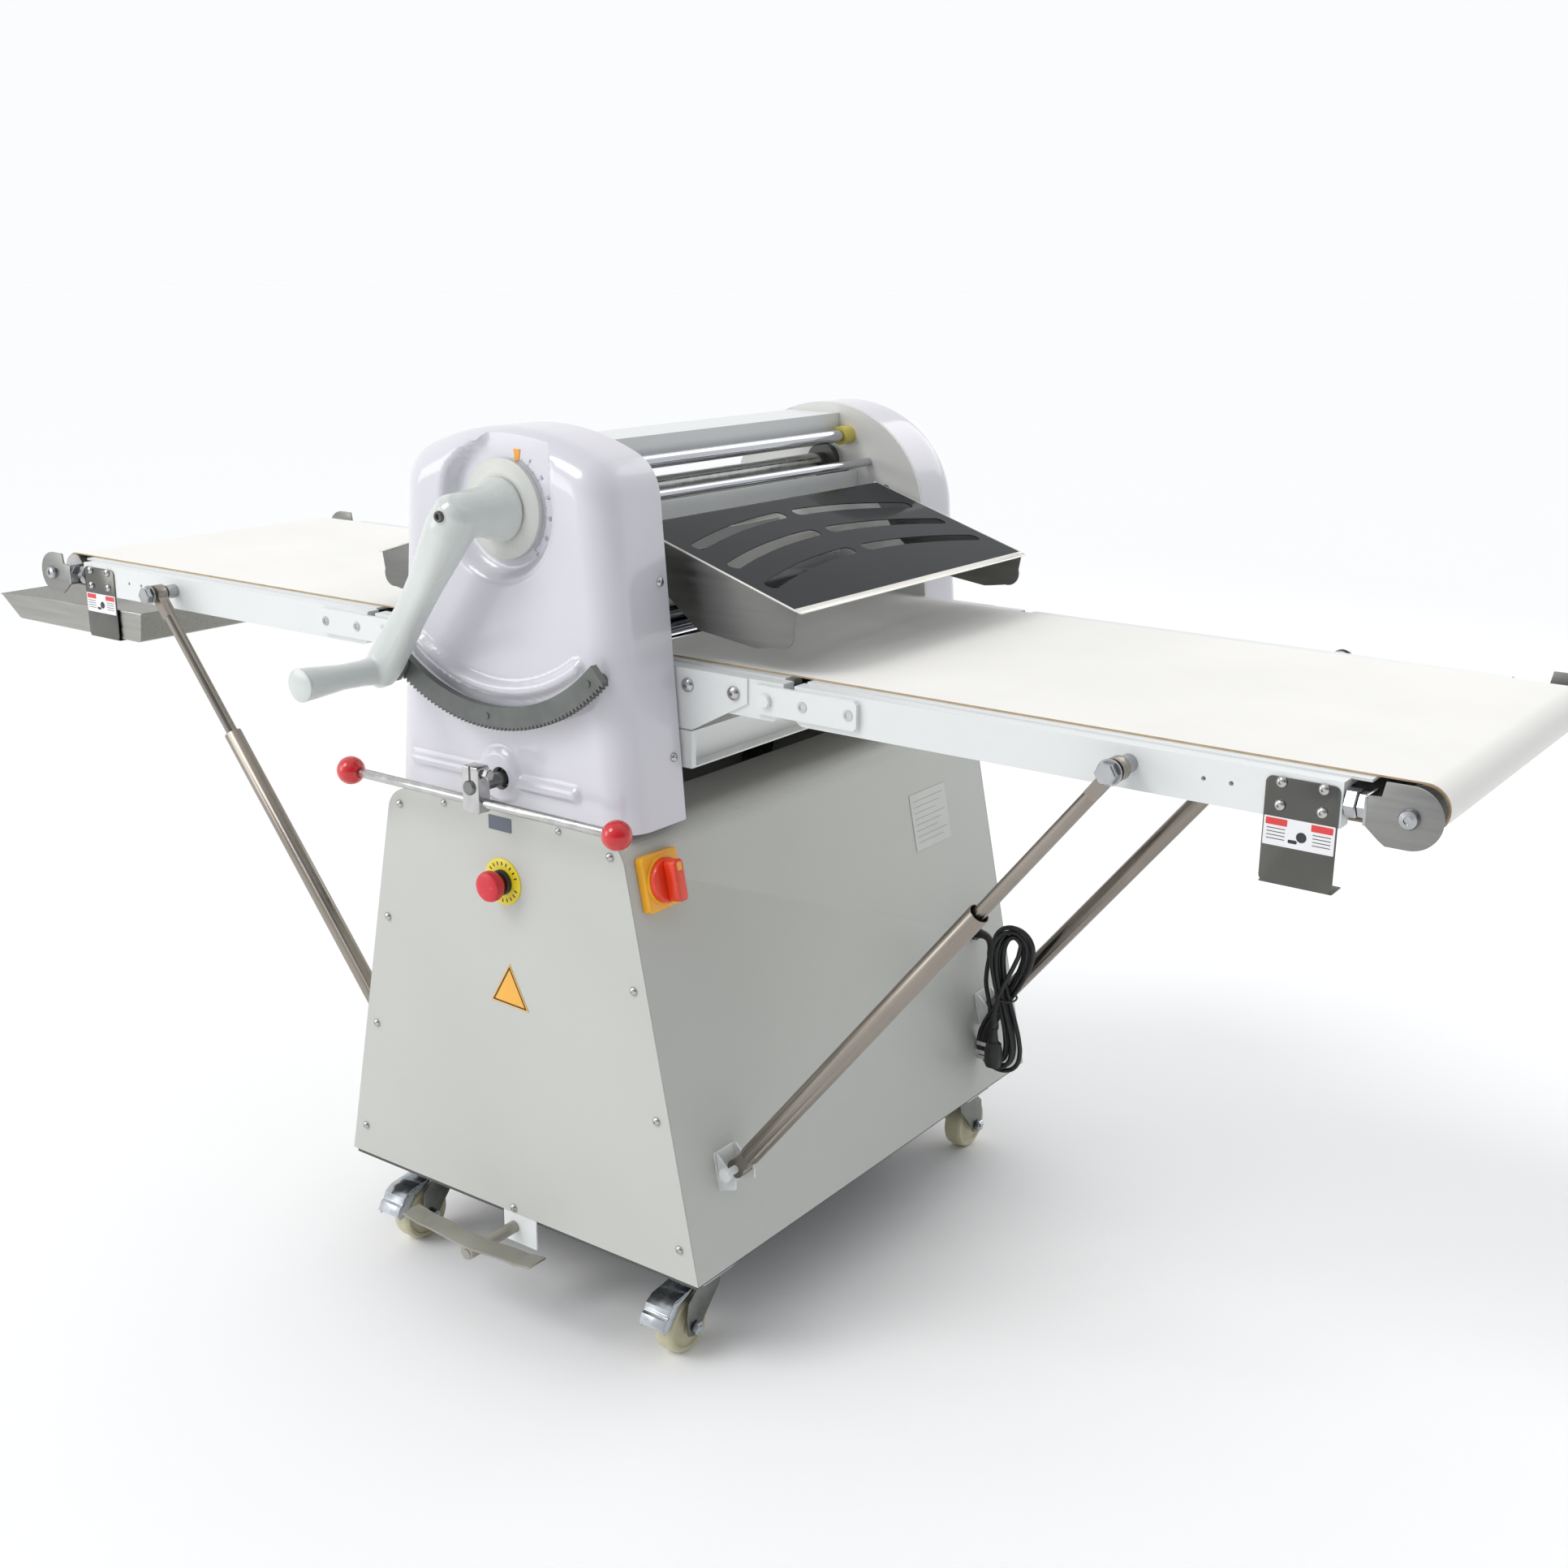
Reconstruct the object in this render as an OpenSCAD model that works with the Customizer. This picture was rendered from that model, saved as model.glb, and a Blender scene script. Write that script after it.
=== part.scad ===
// Reversible floor-standing dough sheeter with two folding belt tables.
// +X runs along the belts, -Y faces the operator, Z = 0 is the floor.

/* [Cabinet] */
// Depth of the cabinet, front panel to rear panel
cab_depth = 804; // [760:2:840]
// Width of the cabinet at its foot
cab_foot_w = 610; // [590:2:640]
// Width of the cabinet near its top
cab_top_w = 384; // [380:2:400]
// Height of the cabinet's lower edge above the floor
cab_low = 136; // [130:1:140]
// Height of the cabinet's flat top
cab_top = 680; // [670:1:690]
// Thickness of the cabinet sheet metal
sheet = 1.5; // [1:0.1:2]

/* [Heads] */
// Free width between the two head plates
head_gap = 570; // [568:1:574]
// Depth of a head, from the plate's inner face to the cover's front
head_depth = 107; // [100:1:115]
// Width of a head at its foot
head_foot_w = 400; // [390:2:410]
// Height of the top of the heads
head_top = 1140; // [1130:1:1150]
// Lean of the heads' sides
head_lean = 5.2; // [4:0.1:6]
// Depth of the recess around the gap dial
recess_depth = 19; // [15:0.5:20]

/* [Belts and tables] */
// Width of the belts
belt_w = 500; // [480:5:510]
// Height of the belt surface
belt_z = 870; // [868:1:872]
// Distance from the middle to a table's end roller
end_roller_x = 1057; // [1040:1:1120]

/* [Rollers and gap lever] */
// Diameter of the two sheeting rollers
roller_d = 84; // [80:1:84]
// Gap between the sheeting rollers at rest
roller_gap = 1; // [1:0.5:3]
// Height of the gap adjusting shaft
shaft_z = 1046; // [1040:1:1050]
// Angle of the gap lever at rest, from straight down
lever_rest = 35.5; // [30:0.5:38]
// Length of the gap lever from the shaft to the grip
lever_len = 247; // [240:1:252]
// Outer radius of the toothed quadrant
quadrant_r = 258; // [250:1:262]

/* [Struts] */
// Distance from the middle to the strut's lower pin
strut_low_x = 300; // [298:1:302]
// Height of the strut's lower pin
strut_low_z = 260; // [255:1:265]
// Distance from the middle to the strut's upper pin
strut_top_x = 769; // [760:1:775]
// Outer diameter of the strut's outer tube
strut_d = 25; // [25:0.5:27]

/* [Castors and cord] */
// Diameter of the castor wheels
castor_d = 76; // [74:1:78]
// Diameter of the mains lead
cord_d = 7; // [6.5:0.5:8]

/* [Hidden] */

$fn = 48;
smooth = 32;

white = "WhiteSmoke";
cream = "Ivory";
dark = "DimGray";
steel = "Silver";
black = [0.1, 0.1, 0.1];

// Cabinet outline
cab_face = cab_depth / 2;
cab_slope = (cab_foot_w - cab_top_w) / 2 / (cab_top - cab_low);
cab_lean = atan(cab_slope);
cab_corner = 38;
ledge_inner = 96;
function cab_side(z) = cab_foot_w / 2 - (z - cab_low) * cab_slope;

// Head outline
head_low = cab_top + 1;
plate_t = 4;
plate_in = head_gap / 2;
plate_out = plate_in + plate_t;
cover_in = plate_out + 0.2;
head_face = plate_in + head_depth;
head_corner = 56;
crown_r = 330;
function head_side(z) = head_foot_w / 2 - (z - head_low) * tan(head_lean);

// Belts, rails and rollers
belt_t = 2;
belt_half = belt_w / 2;
rail_top = belt_z - 4;
rail_h = 46;
rail_w = 20;
rail_out = 282.5;
rail_in = rail_out - rail_w;
deck_half = rail_in - 0.1;
hinge_x = 318;
hinge_z = belt_z - 25;
hinge_r = 6;
bed_end = hinge_x + 20;
table_start = hinge_x + 35;
rail_end = 990;
small_roller_r = 23;
small_roller_z = belt_z - belt_t - small_roller_r;
drive_x = 96;
running = 0.05;
lower_z = belt_z - 2 - roller_d / 2;
upper_z = lower_z + roller_d + roller_gap;
journal_r = 12;

// Gap lever
shaft_r = 12;
horn_y = head_face + 90;
lever_x = -lever_len * sin(lever_rest);
lever_z = shaft_z - lever_len * cos(lever_rest);
lever_y = -(head_face + 58);
grip_end_y = lever_y - 122;
quadrant_y = head_face + 16;
quadrant_t = 10;
quadrant_w = 28;
quadrant_half = 46.5;
dial_face = head_face - recess_depth + 10;
recess_floor = head_face - recess_depth;

// Direction lever
rock_z = 722;
rock_y = head_face + 48;
bar_z = rock_z - 19;
knob_x = 221;

// Struts
strut_y = 312;
strut_top_z = hinge_z + 2;
strut_run = strut_top_x - strut_low_x;
strut_rise = strut_top_z - strut_low_z;
strut_len = sqrt(strut_run * strut_run + strut_rise * strut_rise);
strut_angle = atan2(strut_rise, strut_run);
strut_tube_len = 513;
strut_rod_d = 16;
strut_bore_r = strut_d / 2 - 1.1;
strut_pin_r = 5;

// Foot pedal
pedal_z = 116;
pedal_front = cab_face + 88;

// Castors
wheel_r = castor_d / 2;
wheel_x = 235;
wheel_y = 349;
swivel_y = 321;
castor_top = 107;
brake_pin_r = 2.5;

// Mains lead, hand-chosen route down the rear half of the right side
cord_route = [[270, 316, 366], [278, 316, 365], [285.5, 315, 360.5], [290, 311.5, 351.5], [292, 306, 340],
    [293.5, 299.5, 328], [295.5, 293, 316], [298.5, 287.5, 304.5], [302.5, 284.5, 293], [306, 284, 281],
    [308.5, 284, 270]];
gland_x = 270;
stop_x = 2;
stop_z = 591;
hank_y = 258;
hank_t = 30;
hank_top = [350, 382, 29];
hank_foot = [330, 212, 37];

// Shared shapes
function arc(cx, cz, r, from, to, n) =
    [for (i = [0:n]) [cx + r * cos(from + (to - from) * i / n), cz + r * sin(from + (to - from) * i / n)]];
function mirrored(points) = [for (i = [len(points) - 1:-1:0]) [-points[i][0], points[i][1]]];

module plate_y(points, y0, y1) {
    translate([0, y1, 0]) rotate([90, 0, 0]) linear_extrude(y1 - y0) polygon(points);
}

module plate_x(points, x0, x1) {
    translate([x0, 0, 0]) rotate([90, 0, 90]) linear_extrude(x1 - x0) polygon(points);
}

module block(x0, x1, y0, y1, z0, z1) {
    translate([x0, y0, z0]) cube([x1 - x0, y1 - y0, z1 - z0]);
}

module rod_x(y, z, x0, x1, r) {
    translate([x0, y, z]) rotate([0, 90, 0]) cylinder(h = x1 - x0, r = r);
}

module rod_y(x, z, y0, y1, r) {
    translate([x, y1, z]) rotate([90, 0, 0]) cylinder(h = y1 - y0, r = r);
}

module rod_z(x, y, z0, z1, r) {
    translate([x, y, z0]) cylinder(h = z1 - z0, r = r);
}

module hex_y(x, z, y0, y1, r) {
    translate([x, y1, z]) rotate([90, 0, 0]) cylinder(h = y1 - y0, r = r, $fn = 6);
}

module hex_x(y, z, x0, x1, r) {
    translate([x0, y, z]) rotate([0, 90, 0]) cylinder(h = x1 - x0, r = r, $fn = 6);
}

module both_x() {
    children();
    mirror([1, 0, 0]) children();
}

module both_y() {
    children();
    mirror([0, 1, 0]) children();
}

module on_side(side) {
    mirror([side < 0 ? 1 : 0, 0, 0]) children();
}

// Cabinet
function cab_half(inset) =
    let (r = cab_corner, cz = cab_top - r, cx = cab_side(cz) - r / cos(cab_lean))
    concat([[cab_side(cab_low) - inset / cos(cab_lean), cab_low]],
        arc(cx, cz, r - inset, cab_lean, 90, 10));
function cab_outline(inset) = concat(cab_half(inset), mirrored(cab_half(inset)));

module cabinet_frame() {
    tube = 30;
    floor_z = castor_top + 0.2;
    base_top = cab_low - 2;
    base_x = cab_side(cab_low) - 5;
    in_y = cab_face - 3;
    foot_x = base_x - 25;
    foot_y = in_y - 38;
    shelf = base_top - 4;
    low = base_top + 0.1;
    beam_z = 630;
    beam_top = 660;
    color(dark) {
        both_y() block(-base_x, base_x, in_y - 110, in_y, shelf, base_top);
        both_x() block(base_x - 75, base_x, -in_y + 110.1, in_y - 110.1, shelf, base_top);
        difference() {
            block(-foot_x, foot_x, -foot_y, -foot_y + 80, floor_z, shelf - 0.1);
            rod_y(0, pedal_z, -foot_y - 1, -cab_face + 63, 8 + running);
        }
        block(-foot_x, foot_x, foot_y - 80, foot_y, floor_z, shelf - 0.1);
        both_x() block(foot_x - 70, foot_x, -foot_y + 80.1, foot_y - 80.1, floor_z, shelf - 0.1);
        both_y() both_x()
            plate_y([[cab_side(low) - 42, low], [cab_side(low) - 6, low],
                [cab_side(beam_top) - 6, beam_top], [cab_side(beam_top) - 42, beam_top]], in_y - tube, in_y);
        both_y() block(-153.9, 153.9, in_y - tube, in_y, beam_z, beam_top);
        both_x() block(115, 140, -in_y + tube + 0.1, in_y - tube - 0.1, beam_z, beam_top);
        block(-120, 120, -plate_in, plate_in, 742, 744);
        both_x() block(120, 122, -plate_in, plate_in, 742, 770);
    }
}

module end_panels() {
    color(white) {
        difference() {
            plate_y(cab_outline(0), -cab_face, -cab_face + sheet);
            rod_y(stop_x, stop_z, -cab_face - 1, -cab_face + 3, 11.5);
        }
        plate_y(cab_outline(0), cab_face - sheet, cab_face);
    }
}

module side_covers() {
    color(white) both_x() difference() {
        plate_y(cab_outline(0), -cab_face + sheet + 0.2, cab_face - sheet - 0.2);
        plate_y(concat([[0, 0]], [[cab_side(0) - sheet, 0]], cab_half(sheet), [[0, cab_top - sheet]]),
            -cab_face, cab_face);
        block(-500, ledge_inner, -500, 500, 0, 700);
        rod_x(316, 366, 200, 300, 8);
    }
}

module pan_screw(r) {
    cylinder(h = 1, r = r);
    translate([0, 0, 1]) cylinder(h = r * 0.5, r1 = r, r2 = r * 0.5);
}

module cover_screws() {
    color(steel) {
        both_y() both_x() for (z = [178, 339, 498, 658])
            translate([cab_side(z) - 20, -cab_face, z]) rotate([90, 0, 0]) pan_screw(5);
        both_y() both_x() translate([96, -cab_face, 674]) rotate([90, 0, 0]) pan_screw(4);
        both_y() translate([0, -cab_face, 143]) rotate([90, 0, 0]) pan_screw(5);
        both_x() for (z = [760, 968]) {
            translate([head_side(z), -plate_out - 14, z]) rotate([0, 90 - head_lean, 0]) pan_screw(5);
            translate([arch_side(z), plate_out + 14, z]) rotate([0, 90 - head_lean, 0]) pan_screw(5);
        }
    }
}

// Heads
function crown_root() =
    let (t = tan(head_lean), r = head_corner, a = head_side(0) - r / cos(head_lean),
        b = head_top - crown_r, s = crown_r - r, m = a * t + b, k = 1 + t * t)
    (m + sqrt(m * m - k * (a * a + b * b - s * s))) / k;
corner_z = crown_root();
corner_x = head_side(corner_z) - head_corner / cos(head_lean);
crown_from = atan2(corner_z - head_top + crown_r, corner_x);
function head_half(inset, low) = concat(
    [[head_side(low) - inset / cos(head_lean), low]],
    arc(corner_x, corner_z, head_corner - inset, head_lean, crown_from, 8),
    arc(0, head_top - crown_r, crown_r - inset, crown_from, 90, 8));
function head_outline(inset, low) = concat(head_half(inset, low), mirrored(head_half(inset, low)));

// The rear head ends in an elliptical arch
arch_w = 165;
arch_h = 150;
arch_z = head_top - 12 - arch_h;
function arch_side(z) = arch_w + max(0, arch_z - z) * tan(head_lean);
function arch_half(inset, low) = concat([[arch_side(low) - inset / cos(head_lean), low]],
    [for (i = [0:16]) [(arch_w - inset) * cos(i * 90 / 16), arch_z + (arch_h - inset) * sin(i * 90 / 16)]]);
function arch_outline(inset, low) = concat(arch_half(inset, low), mirrored(arch_half(inset, low)));
function cover_outline(rear, inset, low) = rear ? arch_outline(inset, low) : head_outline(inset, low);

module head_plates() {
    slot_w = 2 * journal_r + 2;
    color(white) for (rear = [false, true]) mirror([0, rear ? 0 : 1, 0]) difference() {
        plate_y(cover_outline(rear, rear ? 0 : 14, head_low), plate_in, plate_out);
        rod_y(0, shaft_z, plate_in - 1, plate_out + 1, shaft_r + 1);
        rod_y(0, lower_z, plate_in - 1, plate_out + 1, journal_r + running);
        block(-slot_w / 2, slot_w / 2, plate_in - 1, plate_out + 1, upper_z - 16, upper_z + 52);
        both_x() rod_y(drive_x, small_roller_z, plate_in - 1, plate_out + 1, 8 + running);
        rod_y(38, 1084, plate_in - 1, plate_out + 1, 9);
        rod_y(74, 1048, plate_in - 1, plate_out + 1, 6);
    }
}

module head_shell(rear) {
    wall = 4;
    steps = [[14, 0], [7, 3], [2.5, 7], [0, 14]];
    difference() {
        union() for (s = steps)
            plate_y(cover_outline(rear, s[1], head_low), -head_face + s[0], -cover_in);
        plate_y(cover_outline(rear, 3 * wall, head_low - 1), -head_face + wall, -cover_in + 1);
        plate_y(cover_outline(rear, wall, head_low - 1), -head_face + 14, -cover_in + 1);
    }
}

module dial_recess(grow, y0, y1) {
    rod_y(0, shaft_z + 4, y0, y1, 92 + grow);
    block(-45 - grow, 88 + grow, y0, y1, shaft_z + 4, head_top);
}

module front_head_cover() {
    color(white) difference() {
        union() {
            head_shell(false);
            intersection() {
                dial_recess(4, -head_face, -recess_floor + 4);
                plate_y(head_outline(12, head_low), -head_face, -recess_floor + 4);
            }
        }
        dial_recess(0, -head_face - 1, -recess_floor);
        rod_y(0, shaft_z, -head_face - 1, -recess_floor + 5, shaft_r + 6);
        rod_y(0, rock_z, -head_face - 1, -head_face + 20, 12);
    }
}

module rear_head_cover() {
    color(white) mirror([0, 1, 0]) head_shell(true);
}

// Bed between the heads
module rail(from, to, steps) {
    z0 = rail_top - rail_h;
    plate_y(concat([[from, z0]], arc(to - 14, z0 + 14, 14, -90, 0, steps), [[to, rail_top], [from, rail_top]]),
        -rail_out, -rail_in);
}

module bed_rails() {
    color(white) {
        both_y() difference() {
            union() {
                rail(0, bed_end, 1);
                mirror([1, 0, 0]) rail(0, bed_end, 1);
            }
            both_x() rod_y(hinge_x, hinge_z, -rail_out - 1, -rail_in + 1, hinge_r);
            both_x() rod_y(drive_x, small_roller_z, -rail_out - 1, -rail_in + 1, 9);
            rod_y(0, lower_z, -rail_out - 1, -rail_in + 1, journal_r + 2);
        }
        both_x() block(132, bed_end - 12, -deck_half, deck_half, belt_z - belt_t - 5.2, belt_z - belt_t - 0.2);
        both_x() for (y = [-200, 200]) block(140, 300, y - 8, y + 8, belt_z - belt_t - 22, belt_z - belt_t - 5.2);
        both_x() difference() {
            block(186, 206, -plate_in, plate_in, 744, 790);
            block(188, 210, -plate_in + 8, plate_in - 8, 746, 788);
        }
    }
}

module bed_gussets() {
    color(white) both_y() both_x() difference() {
        plate_y([[112, rail_top], [288, rail_top], [288, 836], [206, 792], [112, 792]], -plate_in, -rail_out);
        for (x = [200.8, 268.7]) rod_y(x, 846, -plate_in - 1, -rail_out + 1, 4);
    }
}

module dome_bolt_y(x, z, y, r) {
    translate([x, y, z]) rotate([90, 0, 0]) {
        cylinder(h = 1.2, r = r);
        translate([0, 0, 1.2]) cylinder(h = r * 0.45, r1 = r, r2 = r * 0.55);
    }
}

module bed_bolts() {
    color(steel) both_y() both_x() {
        for (x = [200.8, 268.7]) dome_bolt_y(x, 846, -plate_in, 8.5);
        for (x = [200.8, 268.7]) rod_y(x, 846, -plate_in, -rail_out, 4);
        rod_y(hinge_x, hinge_z, -rail_out - 12, -rail_in, hinge_r);
        rod_y(hinge_x, hinge_z, -rail_out - 15, -rail_out - 12, hinge_r + 2);
    }
}

module bed_belts() {
    top = belt_z - belt_t;
    low = small_roller_z - small_roller_r - belt_t;
    wrap = small_roller_r + running;
    color(cream) both_x() {
        block(drive_x, bed_end, -belt_half, belt_half, top, belt_z);
        block(drive_x, hinge_x + 14, -belt_half, belt_half, low, low + belt_t);
        difference() {
            rod_y(drive_x, small_roller_z, -belt_half, belt_half, small_roller_r + belt_t);
            rod_y(drive_x, small_roller_z, -belt_half - 1, belt_half + 1, wrap);
            block(drive_x, drive_x + 60, -belt_half - 1, belt_half + 1, 800, 900);
        }
    }
}

module roller_shell(x, z, r, half) {
    rod_y(x, z, -half, half, r);
}

module drive_roller(side) {
    color(dark) on_side(side) {
        roller_shell(drive_x, small_roller_z, small_roller_r, belt_half + 4);
        rod_y(drive_x, small_roller_z, -plate_out - 14, plate_out + 14, 8);
    }
}

module lower_roller() {
    color(steel) {
        roller_shell(0, lower_z, roller_d / 2, belt_half + 8);
        rod_y(0, lower_z, -plate_out - 30, plate_out + 30, journal_r);
    }
}

module upper_roller() {
    color(steel) {
        roller_shell(0, upper_z, roller_d / 2, belt_half + 8);
        rod_y(0, upper_z, -plate_out - 30, plate_out + 30, journal_r);
    }
}

module roller_carriage() {
    color(dark) {
        both_y() difference() {
            block(-30, 30, plate_out + 2, plate_out + 22, upper_z - 28, upper_z + 40);
            rod_y(0, upper_z, plate_out, plate_out + 24, journal_r + running);
        }
        both_x() plate_y([[48, upper_z + 12], [52, upper_z + 12], [60, upper_z + 50], [57, upper_z + 50]],
            -belt_half, belt_half);
    }
}

// Covers and rods between the heads
module top_cover() {
    color(white) {
        plate_y([[-60, 1112], [20, 1112], [20, 1072], [22, 1072], [22, 1114], [-60, 1114]],
            -plate_in, plate_in);
        both_x() block(54, 56, -plate_in, plate_in, 1000, 1036);
    }
}

module tie_rods() {
    color(steel) {
        rod_y(38, 1084, -plate_out - 8, plate_out + 8, 9);
        rod_y(74, 1048, -plate_out - 6, plate_out + 6, 6);
        both_y() difference() {
            rod_y(38, 1084, plate_in - 22, plate_in, 13);
            rod_y(38, 1084, plate_in - 23, plate_in + 1, 9);
        }
    }
}

module shaft_bearings() {
    color(dark) both_y() difference() {
        union() {
            rod_y(0, shaft_z, plate_in - 12, plate_in, 24);
            both_x() rod_y(34, shaft_z - 14, plate_in - 8, plate_in, 7);
            block(-34, 34, plate_in - 8, plate_in, shaft_z - 21, shaft_z - 7);
        }
        rod_y(0, shaft_z, plate_in - 13, plate_in + 1, shaft_r + running);
    }
}

// Gap lever, dial and quadrant
module adjusting_shaft() {
    color(steel) {
        rod_y(0, shaft_z, -horn_y + 20, plate_out + 40, shaft_r);
        both_y() difference() {
            rod_y(10, shaft_z - 6, -plate_out - 40, -plate_out - 26, 26);
            rod_y(0, shaft_z, -plate_out - 41, -plate_out - 25, shaft_r);
        }
    }
}

module gap_dial() {
    color(cream) difference() {
        rod_y(0, shaft_z, -dial_face, -recess_floor - 0.4, 59);
        rod_y(0, shaft_z, -dial_face - 1, -recess_floor, shaft_r);
    }
}

module ball(x, y, z, r) {
    translate([x, y, z]) sphere(r = r, $fn = smooth);
}

module gap_lever() {
    cap = 20;
    color(cream) difference() {
        union() {
            hull() {
                rod_y(0, shaft_z, -dial_face - 8, -dial_face - 0.2, 36, $fn = smooth);
                ball(-4, -horn_y + 28, shaft_z, 27);
            }
            hull() {
                ball(-4, -horn_y + 28, shaft_z, 27);
                ball(lever_x * 0.5, -head_face - 58, (shaft_z + lever_z) / 2, 21);
            }
            hull() {
                ball(lever_x * 0.5, -head_face - 58, (shaft_z + lever_z) / 2, 21);
                ball(lever_x, lever_y, lever_z, 19);
            }
            hull() {
                ball(lever_x, lever_y, lever_z, 19);
                rod_y(lever_x, lever_z, grip_end_y, grip_end_y + 2, cap, $fn = smooth);
            }
        }
        rod_y(0, shaft_z, -horn_y + 19.9, -dial_face, shaft_r);
    }
    color(dark) hull() {
        rod_y(lever_x, lever_z, -quadrant_y - quadrant_t - 9, -quadrant_y - quadrant_t - 3, 16, $fn = smooth);
        ball(lever_x, lever_y, lever_z, 12);
    }
}

module toothed_quadrant() {
    teeth = 64;
    step = 2 * quadrant_half / teeth;
    start = 270 - quadrant_half;
    inner = quadrant_r - quadrant_w;
    root = quadrant_r - 4;
    toothed = [for (i = [0:teeth - 1]) for (k = [0:3])
        let (r = (k == 0 || k == 3) ? root : quadrant_r, a = start + step * (i + [0, 0.25, 0.5, 0.75][k]))
        [r * cos(a), r * sin(a) + shaft_z]];
    back = [for (i = [40:-1:0]) let (a = start + 2 * quadrant_half * i / 40)
        [inner * cos(a), inner * sin(a) + shaft_z]];
    mid = quadrant_r - quadrant_w / 2 - 2;
    color(dark) {
        difference() {
            plate_y(concat(toothed, back), -quadrant_y - quadrant_t, -quadrant_y);
            for (a = [228, 270, 312])
                rod_y(mid * cos(a), shaft_z + mid * sin(a), -quadrant_y - quadrant_t - 1, -quadrant_y + 1, 4);
        }
        for (a = [228, 270, 312])
            rod_y(mid * cos(a), shaft_z + mid * sin(a), -quadrant_y - quadrant_t - 1.5, -head_face, 4);
        for (a = [228, 270, 312])
            rod_y(mid * cos(a), shaft_z + mid * sin(a), -quadrant_y, -head_face, 8);
    }
}

// Direction lever, foot pedal and switches
module direction_lever() {
    color(steel) {
        block(-15, 15, -rock_y - 16, -rock_y + 16, rock_z - 34, rock_z + 26);
        rod_y(0, rock_z, -rock_y + 16, -plate_out - 34, 9);
        rod_x(-rock_y, bar_z, -knob_x + 8, knob_x - 8, 6);
        hex_x(-rock_y, rock_z + 14, 15, 24, 7);
    }
}

module direction_knobs() {
    color("Crimson") both_x() difference() {
        translate([knob_x, -rock_y, bar_z]) sphere(r = 18, $fn = smooth);
        rod_x(-rock_y, bar_z, knob_x - 30, knob_x - 8, 6);
    }
}

module mounting_brackets() {
    color(white) {
        both_y() both_x() difference() {
            union() {
                for (y = [-335, -297]) plate_y([[strut_low_x - 19, 279], [strut_low_x + 10, 252],
                    [strut_low_x + 10, 240], [strut_low_x - 13, 232]], y, y + 3);
                plate_y([[cab_side(232) + 0.2, 232], [cab_side(232) + 3.2, 232],
                    [cab_side(279) + 3.2, 279], [cab_side(279) + 0.2, 279]], -335, -294);
            }
            rod_y(strut_low_x, strut_low_z, -340, -290, strut_pin_r);
        }
        difference() {
            block(-18, 39, -cab_face, -cab_face + 2.6, 94, cab_low - 0.2);
            rod_y(0, pedal_z, -cab_face - 1, -cab_face + 4, 8 + running);
        }
    }
    color(steel) both_y() both_x() {
        rod_y(strut_low_x, strut_low_z, -340, -290, strut_pin_r);
        hex_y(strut_low_x, strut_low_z, -344, -338, 9);
    }
}

function pedal_wave(x) = pedal_z + 10 + 5 * pow(sin(x * 1.2), 2) + (abs(x) > 84 ? (abs(x) - 84) * 0.25 : 0);

module foot_pedal() {
    top = [for (x = [-112:8:112]) [x, pedal_wave(x) + 3]];
    low = [for (x = [112:-8:-112]) [x, pedal_wave(x)]];
    color(steel) {
        rod_y(0, pedal_z, -pedal_front, -cab_face + 60, 8);
        block(-9, 9, -pedal_front, -pedal_front + 28, pedal_z, pedal_wave(9) - 0.3);
        plate_y(concat(low, top), -pedal_front - 2, -pedal_front + 28);
    }
}

module switch_plates() {
    color("Gold") {
        difference() {
            rod_y(stop_x, stop_z, -cab_face - 2, -cab_face, 30);
            rod_y(stop_x, stop_z, -cab_face - 3, -cab_face + 1, 11.5);
        }
        translate([cab_side(622) + 0.2, -352, 622]) rotate([0, -cab_lean, 0]) difference() {
            translate([0, -32, -34]) cube([12, 64, 68]);
            translate([-1, 0, 0]) rotate([0, 90, 0]) cylinder(h = 20, r = 6 + running);
        }
    }
}

module estop_button() {
    color("Red") {
        rod_y(stop_x, stop_z, -cab_face - 31, -cab_face - 15, 19);
        rod_y(stop_x, stop_z, -cab_face - 15, -cab_face + 30, 11);
    }
}

module isolator_knob() {
    color("Red") translate([cab_side(622) + 0.2, -352, 622]) rotate([0, -cab_lean, 0]) {
        translate([12.4, 0, 0]) rotate([0, 90, 0]) cylinder(h = 10, r = 27);
        translate([22.4, -26, -8]) cube([18, 52, 16]);
        translate([2, 0, 0]) rotate([0, 90, 0]) cylinder(h = 10.4, r = 6);
    }
}

module motor() {
    axis_z = 330;
    cradle = axis_z - 85.2;
    color(dark) {
        rod_y(0, axis_z, -130, 160, 85);
        rod_y(0, axis_z, -160, -130.2, 60);
        rod_y(0, axis_z, -250, -160.2, 12);
        difference() {
            rod_y(0, axis_z, -243, -229, 34);
            rod_y(0, axis_z, -244, -228, 12);
        }
        block(-80, 80, -110, 140, cradle - 6, cradle);
        both_x() block(48, 78, -110, 140, cab_low - 1.9, cradle - 6.1);
        both_x() block(35, 39, -240, -232, axis_z, 700);
    }
}

// Guards over the rollers
module guard(side) {
    tip = 15;
    top = [[108, 1030], [153, 1007], [338, 948]];
    cheek = concat([[108, 1028], [153, 1005], [337, 946]],
        arc(312, 916, tip, 20, -105, 6), [[198, 908], [130, 985]]);
    color(dark) on_side(side) {
        difference() {
            plate_y(concat(top, [[337, 945.5], [152, 1004.5], [107, 1027.5]]), -262, 262);
            for (row = [0, 1]) for (y = [-160, 0, 160])
                translate([210 + row * 62, y, 970]) rotate([0, 17, 10]) for (end = [-1, 1])
                    translate([0, end * 40, 0]) cylinder(h = 60, r = 9, center = true);
        }
        both_y() plate_y(cheek, -262, -260);
        both_y() rod_y(118, 1014, -plate_in + 1, -262, 5);
    }
}

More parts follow.
